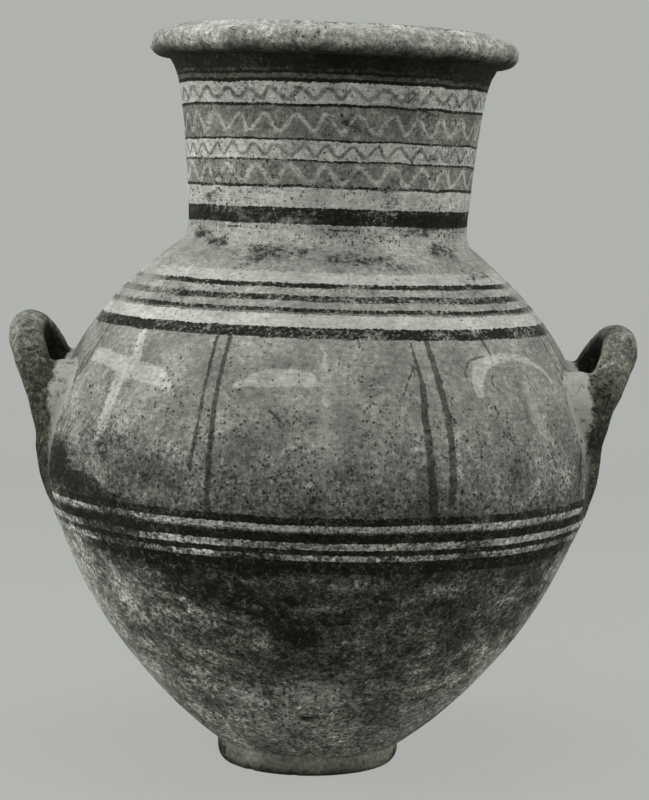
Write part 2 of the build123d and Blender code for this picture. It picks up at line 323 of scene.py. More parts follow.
def smooth_line(points, steps_each=40):
    """A smooth curve through the points, whose ends go on as their first four points do."""
    points = np.asarray(points, float)
    at = np.r_[0, np.cumsum(np.linalg.norm(np.diff(points, axis=0), axis=1))]
    gap = np.diff(at)
    count = len(points)
    left, right = np.zeros((count, count)), np.zeros((count, 2))
    for i in range(1, count - 1):
        left[i, i - 1:i + 2] = 1 / gap[i - 1], 2 / gap[i - 1] + 2 / gap[i], 1 / gap[i]
        step_before, step_after = points[i] - points[i - 1], points[i + 1] - points[i]
        right[i] = 3 * step_before / gap[i - 1] ** 2 + 3 * step_after / gap[i] ** 2
    for i, near in ((0, slice(0, 4)), (count - 1, slice(count - 4, count))):
        left[i, i] = 1
        for k in range(2):
            right[i, k] = np.polyval(np.polyder(np.polyfit(at[near], points[near, k], 3)), at[i])
    slope = np.linalg.solve(left, right)
    t = np.linspace(0, 1, steps_each, endpoint=False)[:, None]
    made = []
    for i in range(count - 1):
        made.append(
            (1 + 2 * t) * (1 - t) ** 2 * points[i] + t * (1 - t) ** 2 * gap[i] * slope[i]
            + t * t * (3 - 2 * t) * points[i + 1] + t * t * (t - 1) * gap[i] * slope[i + 1]
        )
    return np.vstack([*made, points[-1:]])


def arc(centre, radius, start_degrees, end_degrees, steps=24):
    """Points of a circular arc in the half section."""
    turn = np.radians(np.linspace(start_degrees, end_degrees, steps))
    return np.stack([centre[0] + radius * np.cos(turn), centre[1] + radius * np.sin(turn)], axis=-1)


def cloud(points, size, seed):
    """Smooth random values from -1 to 1 that change over the given length."""
    cells = 32
    lattice = np.random.default_rng(seed).uniform(-1, 1, (cells, cells, cells))
    cell = np.asarray(points, float) / size
    base = np.floor(cell).astype(int)
    blend = cell - base
    blend = blend * blend * (3 - 2 * blend)
    value = np.zeros(cell.shape[:-1])
    for corner in np.ndindex(2, 2, 2):
        weight = np.prod(np.where(corner, blend, 1 - blend), axis=-1)
        i, j, k = np.moveaxis((base + corner) % cells, -1, 0)
        value += weight * lattice[i, j, k]
    return value


def wrapped(angle):
    """An angle brought between minus and plus half a turn."""
    return (angle + math.pi) % (2 * math.pi) - math.pi


def scatter_dents(count, heights, radii, depths, seed):
    """Places, sizes and depths of small lost flakes, scattered over a height range."""
    rng = np.random.default_rng(seed)
    return np.stack(
        [
            rng.uniform(-math.pi, math.pi, count),
            rng.uniform(*heights, count),
            rng.uniform(*radii, count),
            rng.uniform(*depths, count),
        ],
        axis=-1,
    )


def dent_depth(points, dents):
    """How deep the lost flakes go at each upright point."""
    azimuth = np.arctan2(points[..., 0], -points[..., 1])
    radius = np.hypot(points[..., 0], points[..., 1])
    depth = np.zeros(points.shape[:-1])
    # Above 1, a flake leaves a flat floor with steeper sides.
    steepness = 1.3
    for turn, height, size, deep in dents:
        near = np.abs(points[..., 2] - height) < size
        across = wrapped(azimuth[near] - turn) * radius[near] / size
        up = (points[..., 2][near] - height) / size
        depth[near] = np.maximum(depth[near], deep * np.clip(steepness * (1 - across**2 - up**2), 0, 1))
    return depth


# Flakes lost from each piece: how many, their heights, radii and depths, and the random seed.
BODY_DENTS = scatter_dents(150, (60, 520), (2.0, 4.5), (0.3, 0.8), 5)
NECK_DENTS = scatter_dents(36, (540, 700), (2.5, 5.0), (0.4, 0.9), 6)
RIM_DENTS = scatter_dents(46, (709, 741), (3.0, 7.5), (0.6, 1.8), 7)
FOOT_DENTS = scatter_dents(16, (0, 22), (3.0, 7.0), (0.3, 1.0), 8)


def turned_relief(points, dents):
    """How far the turned and worn outer face lies under its true outline."""
    settings = bpy.context.scene.storage_jar
    uneven = settings.unevenness / MM
    ridge = settings.ridge_depth / MM
    # Each cloud has a size in millimetres and a random seed. The wall swells over 120 and 42 mm.
    swells = uneven * (0.7 * cloud(points, 120, 11) + 0.3 * cloud(points, 42, 12) - 1)
    # Ridges run round the jar: about 5 mm apart up it and a hand's width long.
    ridges = ridge * (cloud(points / (14, 14, 1), 5.2, 13) - 1)
    grain = 0.10 * (cloud(points, 7, 14) - 1)
    return swells + ridges + grain - dent_depth(points, dents)


def finger_relief(points, _):
    """How far the inner face, drawn up with the fingers and never smoothed, wanders. It has no dents."""
    # Finger furrows run round it 11 mm apart, and it swells over 60 mm.
    return 0.8 * cloud(points / (16, 16, 1), 11, 15) + 0.5 * cloud(points, 60, 16)


class Line:
    """A line of the half section, read by length along it."""

    def __init__(self, points):
        self.points = np.asarray(points, float)
        steps = np.linalg.norm(np.diff(self.points, axis=0), axis=1)
        self.at = np.r_[0, np.cumsum(steps)]
        self.length = self.at[-1]

    def read(self, along):
        """The points at the given lengths."""
        along = np.clip(along, 0, self.length)
        return np.stack([np.interp(along, self.at, self.points[:, k]) for k in (0, 1)], axis=-1)

    def outward(self, along):
        """The direction to the right of travel, which is away from the clay."""
        near = 0.5
        along = np.clip(along, near, self.length - near)
        step = self.read(along + near) - self.read(along - near)
        step /= np.linalg.norm(step, axis=-1, keepdims=True)
        return np.stack([step[..., 1], -step[..., 0]], axis=-1)

    def at_height(self, height):
        """Length along the line at which it passes a height."""
        order = 1 if self.points[-1, 1] > self.points[0, 1] else -1
        return float(np.interp(height, self.points[::order, 1], self.at[::order]))


def lathe_points(line, along, azimuth, relief, dents):
    """Upright points of a turned face, pushed in by its relief."""
    turn = np.stack([np.sin(azimuth), -np.cos(azimuth)], axis=-1)

    def place(radius_height):
        radius, height = radius_height[:, None, 0], radius_height[:, None, 1]
        flat = radius[..., None] * turn[None]
        return np.concatenate([flat, np.broadcast_to(height[..., None], (*flat.shape[:2], 1))], axis=-1)

    true, out = place(line.read(along)), place(line.outward(along))
    return true + out * relief(true, dents)[..., None]


def turned_strip(line, start, end, row_height, relief, dents=()):
    """One turned face between two lengths along its line: its rows of points, and their normals."""
    steps_round = bpy.context.scene.storage_jar.steps_round
    along = np.linspace(start, end, max(2, round(abs(end - start) / row_height) + 1))
    azimuth = np.linspace(0, 2 * math.pi, steps_round, endpoint=False)
    # The direction of the face is read over 2 mm along it and about 3 mm round it.
    near_along, near_round, least_radius = 1.0, 1.5, 60.0
    turn = near_round / max(least_radius, line.read(along)[:, 0].mean())

    def face(shift, turned):
        return lathe_points(line, along + shift, azimuth + turned, relief, dents)

    normals = np.cross(face(0, turn) - face(0, -turn), face(near_along, 0) - face(-near_along, 0))
    normals /= np.maximum(np.linalg.norm(normals, axis=-1, keepdims=True), 1e-9)
    return face(0, 0), normals


def joint_strip(from_row, to_row, upward):
    """The flat face of a level joint, from one row of points to another."""
    points = np.stack([from_row, to_row])
    normals = np.zeros_like(points)
    normals[..., 2] = 1 if upward else -1
    return points, normals


def closed_wall(outside, inside):
    """The four faces of a wall: its outside, level top, inside and level bottom."""
    top = joint_strip(outside[0][-1], inside[0][0], True)
    bottom = joint_strip(inside[0][-1], outside[0][0], False)
    return [outside, top, inside, bottom]


def nearest_stroke(across, height, strokes):
    """The nearest middle of a brush stroke on the chart, its half width there and the distance outside."""
    nearest = np.full((len(across), 4), STROKE_FAR)
    for points, start_half, end_half in strokes:
        path = np.array([(math.radians(turn) * CHART_RADIUS, up) for turn, up in points])
        lengths = np.linalg.norm(np.diff(path, axis=0), axis=1)
        shares = np.r_[0, np.cumsum(lengths)] / lengths.sum()
        halves = start_half + (end_half - start_half) * shares
        for i in range(len(path) - 1):
            (x, y), (dx, dy) = path[i], path[i + 1] - path[i]
            t = np.clip(((across - x) * dx + (height - y) * dy) / (dx * dx + dy * dy), 0, 1)
            half = halves[i] + t * (halves[i + 1] - halves[i])
            far = np.hypot(across - x - t * dx, height - y - t * dy) - half
            closer = far < nearest[:, 3]
            nearest[closer] = np.stack([x + t * dx, y + t * dy, half, far], axis=-1)[closer]
    return nearest


def patch_strength(across, height, patches):
    """How strongly soft patches lie on each point, from 0 to 1."""
    strength = np.zeros(across.shape)
    for turn, up, half_width, half_height, most in patches:
        far = ((across - math.radians(turn) * CHART_RADIUS) / half_width) ** 2
        far += ((height - up) / half_height) ** 2
        strength = np.maximum(strength, most * np.exp(-far))
    return strength


def mark_surface(mesh, places):
    """Give each point of the mesh what the brush and the soil left there, with the painted light and shade,
    as named values.
    """
    turn = np.arctan2(places[:, 0], np.abs(places[:, 1]))
    across, height = turn * CHART_RADIUS, places[:, 2]
    for mark, strokes in (("dark_stroke", DARK_STROKES), ("pale_stroke", PALE_STROKES)):
        values = nearest_stroke(across, height, strokes).ravel()
        mesh.attributes.new(mark, "FLOAT_COLOR", "POINT").data.foreach_set("color", values)
    for mark, patches in (("soot_and_shade", SOOT_AND_SHADE_PATCHES), ("pale", PALE_AND_SIDE_LIGHT_PATCHES)):
        values = patch_strength(across, height, patches)
        mesh.attributes.new(mark, "FLOAT", "POINT").data.foreach_set("value", values)


def turned_piece(name, strips, materials):
    """A closed ring of clay whose section is the strips, each one starting where the last one ends.
    The first strip has the first material and the others the last."""
    around = strips[0][0].shape[1]
    rows, row_pairs, normal_pairs = [], [], []
    for points, normals in strips:
        first = len(rows) - 1 if rows else 0
        rows.extend(points if not rows else points[1:])
        row_pairs += [(first + i, first + i + 1) for i in range(len(points) - 1)]
        normal_pairs += list(zip(normals[:-1], normals[1:]))
    # The last row is the first one again.
    rows.pop()
    places = np.concatenate(rows)
    low, high = np.array(row_pairs).T[..., None] % len(rows) * around
    here = np.arange(around)[None]
    there = (here + 1) % around
    faces = np.stack([low + here, low + there, high + there, high + here], axis=-1).reshape(-1, 4)
    below, above = np.moveaxis(np.array(normal_pairs), 1, 0)
    corners = [below, np.roll(below, -1, axis=1), np.roll(above, -1, axis=1), above]
    corner_normals = np.stack(corners, axis=2).reshape(-1, 3)
    made = clay_piece(name, places, faces.tolist(), materials[0], corner_normals)
    if len(materials) > 1:
        made.data.materials.append(materials[1])
        outside = (len(strips[0][0]) - 1) * around
        second = (np.arange(len(faces)) >= outside).astype(np.int32)
        made.data.polygons.foreach_set("material_index", second)
    mark_surface(made.data, places)
    return made


def clay_piece(name, places, faces, material, corner_normals=None, point_normals=None):
    """A mesh piece from upright points in millimetres, standing as the jar does."""
    mesh = bpy.data.meshes.new(name)
    mesh.from_pydata(stand_up(places).tolist(), [], faces)
    mesh.validate()
    mesh.shade_smooth()
    if corner_normals is not None:
        mesh.normals_split_custom_set(lean_directions(corner_normals).tolist())
    if point_normals is not None:
        mesh.normals_split_custom_set_from_vertices(lean_directions(point_normals).tolist())
    mesh.materials.append(material)
    made = bpy.data.objects.new(name, mesh)
    bpy.context.scene.collection.objects.link(made)
    return made


def fit_piece(made, node):
    """Stand a finished piece for its CAD node."""
    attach(made, "root")
    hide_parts(node)
    return made


def ease_crease(normals, seam_normals):
    """Round off the shading of a crease: turn the normals of the rows near it, the first row most."""
    rows_eased = 2.0
    share = np.exp(-np.arange(len(normals)) / rows_eased)[:, None, None]
    eased = normals + (seam_normals - normals[0]) * share
    return eased / np.linalg.norm(eased, axis=-1, keepdims=True)


def neck_base_crease():
    """Where the shoulder meets the neck: the points there, and the direction between their faces."""
    row = bpy.context.scene.storage_jar.row_height / MM
    (body, _), (neck, _) = wall_lines(), neck_lines()
    below = turned_strip(body, body.length - row, body.length, row, turned_relief, BODY_DENTS)
    above = turned_strip(neck, 0, row, row, turned_relief, NECK_DENTS)
    middle = below[1][-1] + above[1][0]
    return below[0][-1], middle / np.linalg.norm(middle, axis=-1, keepdims=True)


def wall_lines():
    """The outer line of the body, rising, and its inner line, falling."""
    return Line(smooth_line(BODY_OUTSIDE)), Line(smooth_line(BODY_INSIDE)[::-1])


def neck_lines():
    """The outer line of the neck, rising, and its inner line, falling."""
    outline = smooth_line(NECK_OUTSIDE)
    return Line(outline), Line((outline - (NECK_WALL, 0))[::-1])


def wall_strips(bottom, top):
    """The four faces of one stage of the body wall."""
    row = bpy.context.scene.storage_jar.row_height / MM
    outer, inner = wall_lines()
    outside = turned_strip(
        outer, outer.at_height(bottom), outer.at_height(top), row, turned_relief, BODY_DENTS
    )
    inside = turned_strip(inner, inner.at_height(top), inner.at_height(bottom), 2 * row, finger_relief)
    if top == NECK_BASE:
        outside = outside[0], ease_crease(outside[1][::-1], neck_base_crease()[1])[::-1]
    return closed_wall(outside, inside)


def neck_strips():
    """The four faces of the neck, whose foot meets the shoulder all the way round."""
    row = bpy.context.scene.storage_jar.row_height / MM
    outer, inner = neck_lines()
    points, normals = turned_strip(outer, 0, outer.length, row, turned_relief, NECK_DENTS)
    inside = turned_strip(inner, 0, inner.length, row, finger_relief)
    points[0], seam_normals = neck_base_crease()
    return closed_wall((points, ease_crease(normals, seam_normals)), inside)


def rim_strips():
    """The rounded rim from the neck's outer edge over the nose and crown to the bore, and its joint."""
    rim = RIM_SECTION
    nose_height = NECK_TOP + rim["nose_radius"]
    nose_top = nose_height + rim["nose_radius"]
    fall, rise = rim["nose_centre"] - rim["crown"], rim["crown_height"] - nose_top
    dish = (fall**2 + rise**2) / (2 * rise)
    dish_turn = math.degrees(math.atan2(rise - dish, -fall)) % 360
    section = np.vstack(
        [
            [(NECK_OUTSIDE[-1][0], NECK_TOP)],
            arc((rim["nose_centre"], nose_height), rim["nose_radius"], -90, 90),
            arc((rim["nose_centre"], nose_top + dish), dish, 270, dish_turn, 10)[1:],
            [(rim["bore"], rim["inner_edge_height"]), (rim["bore"], NECK_TOP)],
        ]
    )
    line = Line(section)
    skin = turned_strip(line, 0, line.length, RIM_ROW, turned_relief, RIM_DENTS)
    # The rim starts on the last points of the neck.
    neck, _ = neck_lines()
    skin[0][0] = turned_strip(neck, neck.length - 1, neck.length, 1, turned_relief, NECK_DENTS)[0][-1]
    return [skin, joint_strip(skin[0][-1], skin[0][0], False)]


def foot_strips():
    """The ring foot: its outer face, the joint under the body, its bore and the ring it stands on."""
    foot = FOOT_SECTION
    middle = (foot["top"] + foot["bottom"]) / 2 + foot["bulge"]
    worn = [
        (foot["bottom"] - foot["worn_off"], 0),
        (foot["bottom"] - foot["left_at_worn_height"], foot["worn_height"]),
    ]
    outer = Line(smooth_line([*worn, (middle, FOOT_TOP / 2), (foot["top"], FOOT_TOP)]))
    inner = Line([(foot["opening"], FOOT_TOP), (foot["opening"] + foot["opening_flare"], 0)])
    strips = closed_wall(
        turned_strip(outer, 0, outer.length, FOOT_ROW, turned_relief, FOOT_DENTS),
        turned_strip(inner, 0, inner.length, FOOT_BORE_ROW, finger_relief),
    )
    # The foot was rubbed level after the jar had leaned, so its lower rows follow the ground.
    for points, _ in strips:
        share = np.clip(1 - points[..., 2] / FOOT_TOP, 0, 1)
        ground = points[..., 0] * math.tan(LEAN)
        lifted = np.maximum(points[..., 2] + ground * share, ground)
        points[..., 2] = np.where(share >= 1, ground, lifted)
    return strips


def floor_disc_piece(name, material):
    """The thick disc that closes the bottom, whose edge is the lowest part of the outer wall."""
    outer, _ = wall_lines()
    edge, edge_normals = turned_strip(
        outer, 0, outer.at_height(FLOOR_TOP), FLOOR_EDGE_ROW, turned_relief, BODY_DENTS
    )
    shares = np.linspace(0, 1, FLOOR_RINGS + 2)[1:-1, None, None]

    def face_rows(edge_row, height):
        """The rings of one face of the disc, which was beaten out by hand and is uneven by 0.6 mm."""
        middle = np.array([0, 0, height])
        rows = middle + (edge_row - middle) * shares
        rows[..., 2] = height + 0.6 * cloud(rows, 22, 19)
        return rows

    under, top = face_rows(edge[0], FOOT_TOP), face_rows(edge[-1], FLOOR_TOP)[::-1]
    rows = np.concatenate([under, edge, top])
    places = np.concatenate([rows.reshape(-1, 3), [(0, 0, FOOT_TOP), (0, 0, FLOOR_TOP)]])
    downward, upward = np.broadcast_to((0, 0, -1), under.shape), np.broadcast_to((0, 0, 1), top.shape)
    normals = np.concatenate([downward, edge_normals, upward]).reshape(-1, 3)
    normals = np.concatenate([normals, [(0, 0, -1), (0, 0, 1)]])
    here = np.arange(edge.shape[1])
    there = (here + 1) % len(here)
    faces = []
    for low in np.arange(len(rows) - 1) * len(here):
        high = low + len(here)
        faces += np.stack([low + here, low + there, high + there, high + here], axis=-1).tolist()
    last, bottom_middle, top_middle = (len(rows) - 1) * len(here), len(places) - 2, len(places) - 1
    faces += [(bottom_middle, b, a) for a, b in zip(here.tolist(), there.tolist())]
    faces += [(last + a, last + b, top_middle) for a, b in zip(here.tolist(), there.tolist())]
    return clay_piece(name, places, faces, material, point_normals=normals)


def springing_height(crown_height):
    """Height at which the arch of a handle springs from its legs."""
    return crown_height - RISE * math.sin(TILT)


def roll_centres(crown_height):
    """Points along the middle of a handle roll at +X, and the roll's radius at each."""
    corner_steps, crown_steps, bend_steps, tail_steps = 34, 64, 22, 24
    side, up = np.array([0, 1, 0]), np.array([math.cos(TILT), 0, math.sin(TILT)])
    away = np.array([math.sin(TILT), 0, -math.cos(TILT)])
    springing = np.array([SPRINGING_REACH, 0, springing_height(crown_height)])
    corner = HALF_WIDTH - CORNER_RADIUS
    crown_radius = HALF_WIDTH**2 + RISE**2 - 2 * HALF_WIDTH * CORNER_RADIUS
    crown_radius /= 2 * (RISE - CORNER_RADIUS)
    turn = math.degrees(math.atan2(crown_radius - RISE, corner))
    arch = np.vstack(
        [
            arc((-corner, 0), CORNER_RADIUS, 180, 180 - turn, corner_steps),
            arc((0, RISE - crown_radius), crown_radius, 180 - turn, turn, crown_steps),
            arc((corner, 0), CORNER_RADIUS, turn, 0, corner_steps),
        ]
    )
    loop = springing + arch[:, :1] * side + arch[:, 1:] * up
    bend = TILT + np.linspace(0, math.pi / 2 - TILT, bend_steps)[:, None]
    out = np.hstack([np.sin(bend), 0 * bend, -np.cos(bend)])
    drop = np.linspace(0, 1, tail_steps)
    inset = np.interp(drop, (0, 0.5, 1), TAIL_INSETS)
    fall = np.stack([-inset, 0 * drop, -TAIL_LENGTH * drop], axis=-1)
    tail_radius = np.polyval(np.polyfit((0, 0.5, 1), TAIL_RADII, 2), drop)
    centres, radii = [loop], [np.full(len(loop), ROLL_RADIUS)]
    for hand in (-1, 1):
        start = springing + hand * HALF_WIDTH * side
        leg = start + LEG_BEND_RADIUS * away - LEG_BEND_RADIUS * out
        centres += [leg, leg[-1] + fall]
        radii += [np.full(len(leg), ROLL_RADIUS), tail_radius]
    return np.vstack(centres), np.concatenate(radii)


def roll_distance(points, centres, radii):
    """Distance of each point outside a handle roll."""
    far, at_once = np.empty(len(points)), 20000
    for first in range(0, len(points), at_once):
        part = points[first:first + at_once]
        square = (part**2).sum(1)[:, None] + (centres**2).sum(1)[None] - 2 * part @ centres.T
        far[first:first + at_once] = (np.sqrt(np.maximum(square, 0)) - radii).min(1)
    return far


def painted_loop_shade(points, crown_height):
    """How much painted shade each point takes on the inner side of the handle's loop, from 0 to 1."""
    # The painted shade starts just outside the roll's middle, grows quickly and fades out down the legs.
    edge, growth, fade_below = 1.02, 8, 40
    out, rise = points[:, 0] - SPRINGING_REACH, points[:, 2] - springing_height(crown_height)
    up = out * math.cos(TILT) + rise * math.sin(TILT)
    share = np.hypot(points[:, 1] / HALF_WIDTH, np.maximum(up, 0) / RISE)
    return np.clip((edge - share) * growth, 0, 1) * np.clip(1 + up / fade_below, 0, 1)


def joined(a, b, width):
    """Two clay surfaces smeared together over a width."""
    overlap = np.maximum(width - np.abs(a - b), 0) / width
    return np.minimum(a, b) - overlap**2 * width / 4


def wall_distance(grid):
    """Distance of each point outside the worn wall of the body."""
    outer, _ = wall_lines()
    radius = np.interp(grid[..., 2], outer.points[:, 1], outer.points[:, 0])
    slope = np.gradient(outer.points[:, 0], outer.points[:, 1])
    steep = 1 / np.hypot(1, np.interp(grid[..., 2], outer.points[:, 1], slope))
    return (np.hypot(grid[..., 0], grid[..., 1]) - radius) * steep + WALL_LOSS


def mound_distance(grid, crown_height):
    """Distance of each point outside the two mounds of clay, one behind each leg of a handle."""
    mounds = np.full(grid.shape[:-1], FAR)
    for hand in (-1, 1):
        azimuth = math.atan2(hand * HALF_WIDTH, SPRINGING_REACH)
        c, s = math.cos(azimuth), math.sin(azimuth)
        x = grid[..., 0] * c + grid[..., 1] * s - math.hypot(SPRINGING_REACH - ROLL_RADIUS, HALF_WIDTH)
        y = grid[..., 1] * c - grid[..., 0] * s
        z = grid[..., 2] - springing_height(crown_height) + MOUND_DROP
        c, s = math.cos(MOUND_TILT), math.sin(MOUND_TILT)
        egg = np.stack([x * c + z * s, y, z * c - x * s], axis=-1)
        scaled = np.linalg.norm(egg / MOUND_SIZE, axis=-1)
        twice = np.linalg.norm(egg / np.square(MOUND_SIZE), axis=-1)
        mounds = np.minimum(mounds, scaled * (scaled - 1) / np.maximum(twice, 1e-6))
    return mounds


def handle_fields(crown_height, seed):
    """Distances outside the roll and outside the clay smeared at its roots, on a grid at +X."""
    pitch = bpy.context.scene.storage_jar.roll_grid / MM
    centres, radii = roll_centres(crown_height)
    low, high = centres.min(0) - GRID_BELOW, centres.max(0) + GRID_ABOVE
    low[0] = GRID_START
    low[1], high[1] = -HALF_WIDTH - GRID_BESIDE, HALF_WIDTH + GRID_BESIDE
    axes = [np.arange(a, b, pitch) for a, b in zip(low, high)]
    grid = np.stack(np.meshgrid(*axes, indexing="ij"), axis=-1)
    roll = roll_distance(grid.reshape(-1, 3), centres, radii).reshape(grid.shape[:-1])
    lumps = sum(most * cloud(grid, size, seed + i) for i, (most, size) in enumerate(LUMPS))
    roll = roll + LUMP_LIMIT - np.clip(lumps, -LUMP_LIMIT, LUMP_LIMIT)
    wall, mounds = wall_distance(grid), mound_distance(grid, crown_height)
    smeared = joined(joined(roll, wall, SMEAR_WIDTH), mounds, MOUND_SMEAR_WIDTH)
    # The smeared clay is kept only where it fills a corner, and goes a little under what it lies on.
    kept = np.minimum(np.maximum(roll, wall) - SMEAR_REACH, mounds - MOUND_REACH)
    under = np.maximum(-(wall + CLAY_OVERLAP), -(roll + CLAY_OVERLAP))
    smeared = np.max([smeared + SMEAR_SHRINK, under, kept], axis=0)
    return low, pitch, grid, roll, wall, smeared


def skin_of(field, low, pitch):
    """Points and quads round the part of a grid where the field is negative."""
    outside = 5.0
    field = np.pad(field, 1, constant_values=outside)
    low = low - pitch
    inside = field < 0
    shape = np.array(field.shape) - 1
    count = np.zeros(shape, int)
    for i, j, k in np.ndindex(2, 2, 2):
        count += inside[i:i + shape[0], j:j + shape[1], k:k + shape[2]]
    cells = np.argwhere((count > 0) & (count < 8))
    index = np.full(shape, -1)
    index[tuple(cells.T)] = np.arange(len(cells))
    total, crossings = np.zeros((len(cells), 3)), np.zeros(len(cells))
    for axis in range(3):
        step = np.eye(3, dtype=int)[axis]
        others = [np.eye(3, dtype=int)[k] for k in range(3) if k != axis]
        for i, j in np.ndindex(2, 2):
            start = cells + i * others[0] + j * others[1]
            a, b = field[tuple(start.T)], field[tuple((start + step).T)]
            cut = (a < 0) != (b < 0)
            share = np.where(cut, a / np.where(cut, a - b, 1), 0)
            total += cut[:, None] * (start + share[:, None] * step)
            crossings += cut
    places = low + pitch * total / crossings[:, None]
    faces = []
    for axis in range(3):
        step = np.eye(3, dtype=int)[axis]
        first, second = (np.eye(3, dtype=int)[(axis + k) % 3] for k in (1, 2))
        here = [slice(0, n - d) for n, d in zip(field.shape, step)]
        ahead = [slice(d, n) for n, d in zip(field.shape, step)]
        edges = np.argwhere(inside[tuple(here)] != inside[tuple(ahead)])
        ring = [edges, edges - first, edges - first - second, edges - second]
        quads = np.stack([index[tuple(corner.T)] for corner in ring], axis=-1)
        leaves = inside[tuple(edges.T)]
        faces.append(np.where(leaves[:, None], quads, quads[:, ::-1]))
    return places, np.concatenate(faces)


def handle_pieces(hand, crown_height, seed, material):
    """One handle roll, and the clay smeared round each of its two roots."""
    centres, radii = roll_centres(crown_height)
    low, pitch, grid, roll, wall, smeared = handle_fields(crown_height, seed)
    fields = {f"handle_{hand}": np.maximum(roll, -(wall + CLAY_OVERLAP))}
    for place, side in (("front", -1), ("back", 1)):
        fields[f"root_clay_{hand}_{place}"] = np.maximum(smeared, -side * grid[..., 1])
    # Clay this far off the true roll starts to be smeared clay, and is so fully after this much more.
    start, change = 0.5, 5
    for node, field in fields.items():
        places, faces = skin_of(field, low, pitch)
        # Each point carries how far it is smeared clay, and how much painted shade it takes inside the loop.
        marks = {
            "smeared": np.clip((roll_distance(places, centres, radii) - start) / change, 0, 1),
            "inner": painted_loop_shade(places, crown_height),
        }
        if hand == "left":
            places = places * (-1, 1, 1)
            faces = faces[:, ::-1]
        made = clay_piece(f"{node}_clay", places, faces.tolist(), material)
        for mark, values in marks.items():
            made.data.attributes.new(mark, "FLOAT", "POINT").data.foreach_set("value", values)
        fit_piece(made, node)


def add(tree, kind, inputs=(), **settings):
    """A new node with its settings, whose inputs are numbers, colours, sockets or other nodes."""
    node = tree.nodes.new(kind)
    for name, value in settings.items():
        setattr(node, name, value)
    for key, value in dict(inputs if isinstance(inputs, dict) else enumerate(inputs)).items():
        if isinstance(value, bpy.types.Node):
            value = next(socket for socket in value.outputs if socket.enabled)
        if isinstance(value, bpy.types.NodeSocket):
            tree.links.new(value, node.inputs[key])
        else:
            node.inputs[key].default_value = value
    return node


def new_material(name):
    """An empty material and its node tree."""
    material = bpy.data.materials.get(name) or bpy.data.materials.new(name)
    material.use_nodes = True
    material.node_tree.nodes.clear()
    return material, material.node_tree


def set_stops(ramp, stops, interpolation="LINEAR"):
    """Give a ramp its stops, each a position from 0 to 1 and a colour."""
    elements = ramp.color_ramp.elements
    ramp.color_ramp.interpolation = interpolation
    while len(elements) > 1:
        elements.remove(elements[-1])
    for i, (position, colour) in enumerate(stops):
        element = elements[0] if i == 0 else elements.new(position)
        element.position, element.color = position, colour


def upright_space(tree):
    """Where a point is on the upright jar, in millimetres: its place, height and azimuth."""
    c, s = math.cos(LEAN), math.sin(LEAN)
    upright = add(
        tree, "ShaderNodeMapping",
        {
            "Vector": add(tree, "ShaderNodeTexCoord").outputs["Object"],
            "Location": (LEAN_PIVOT_HEIGHT * s * c, 0, LEAN_PIVOT_HEIGHT * s * s),
            "Rotation": (0, -LEAN, 0),
            "Scale": (1 / MM, 1 / MM, 1 / MM),
        },
        vector_type="POINT",
    )
    parts = add(tree, "ShaderNodeSeparateXYZ", [upright])
    toward = add(tree, "ShaderNodeMath", [parts.outputs["Y"], -1.0], operation="MULTIPLY")
    azimuth = add(tree, "ShaderNodeMath", [parts.outputs["X"], toward], operation="ARCTAN2")
    return upright, parts.outputs["Z"], azimuth


def tones_by_height(tree, space, tones):
    """Colour of the clay by height, with the painted light and shade that some tones hold. Tones are heights
    and sRGB colours going up.
    """
    low, high = tones[0][0], tones[-1][0]
    share = add(tree, "ShaderNodeMapRange", [space[1], low, high])
    ramp = add(tree, "ShaderNodeValToRGB", [share])
    set_stops(ramp, [((at - low) / (high - low), linear(tone)) for at, tone in tones])
    return ramp


def wander(tree, vector, size, detail, roughness=0.5, most=1.0):
    """A soft random value about nought that changes over the given length, times its strength."""
    field = add(
        tree, "ShaderNodeTexNoise",
        {"Vector": vector, "Scale": 1 / size, "Detail": float(detail), "Roughness": roughness},
    )
    centred = add(tree, "ShaderNodeMath", [field, -0.5], operation="ADD")
    return centred if most == 1.0 else add(tree, "ShaderNodeMath", [centred, most], operation="MULTIPLY")


def mottled(tree, space, colour, mottle, streaks):
    """Blotch the colour as soil and grit do, streak it as turning does, and give the grain it came from."""
    upright, height, _ = space
    grain = wander(tree, upright, GRIT_CLUSTER, 8, 0.8)
    clouds = wander(tree, upright, SOIL_CLOUD, 8, 0.74)
    # Turning left streaks, far longer round the jar than up it. Their space is counted in streaks.
    scale = (1 / STREAK_LENGTH, 1 / STREAK_LENGTH, 1 / STREAK_HEIGHT)
    brushed = add(tree, "ShaderNodeMapping", {"Vector": upright, "Scale": scale}, vector_type="POINT")
    turned = wander(tree, brushed, 1.0, 5, 0.6, streaks)
    # The mottling is weaker on pale slip and on the pale patches. Slip and crust fill the pores, and at the
    # sides of the body those patches are partly painted light.
    strength = add(tree, "ShaderNodeMapRange", [height, *mottle])
    lightness = add(tree, "ShaderNodeRGBToBW", [colour])
    filled = add(tree, "ShaderNodeMapRange", [lightness, 0.16, 0.42, 1.0, 0.5])
    crust_and_side_light = add(tree, "ShaderNodeAttribute", attribute_name="pale").outputs["Fac"]
    crust_and_side_light = add(tree, "ShaderNodeMapRange", [crust_and_side_light, 0.3, 1.3, 1.0, 0.6])
    for share in (filled, crust_and_side_light):
        strength = add(tree, "ShaderNodeMath", [strength, share], operation="MULTIPLY")
    # How many times the tone doubles or halves.
    doublings = add(tree, "ShaderNodeMath", [clouds, 0.8, grain], operation="MULTIPLY_ADD")
    doublings = add(tree, "ShaderNodeMath", [doublings, strength, turned], operation="MULTIPLY_ADD")
    tone = add(tree, "ShaderNodeMath", [2.0, doublings], operation="POWER")
    colour = add(tree, "ShaderNodeVectorMath", {0: colour, "Scale": tone}, operation="SCALE")
    return colour, grain


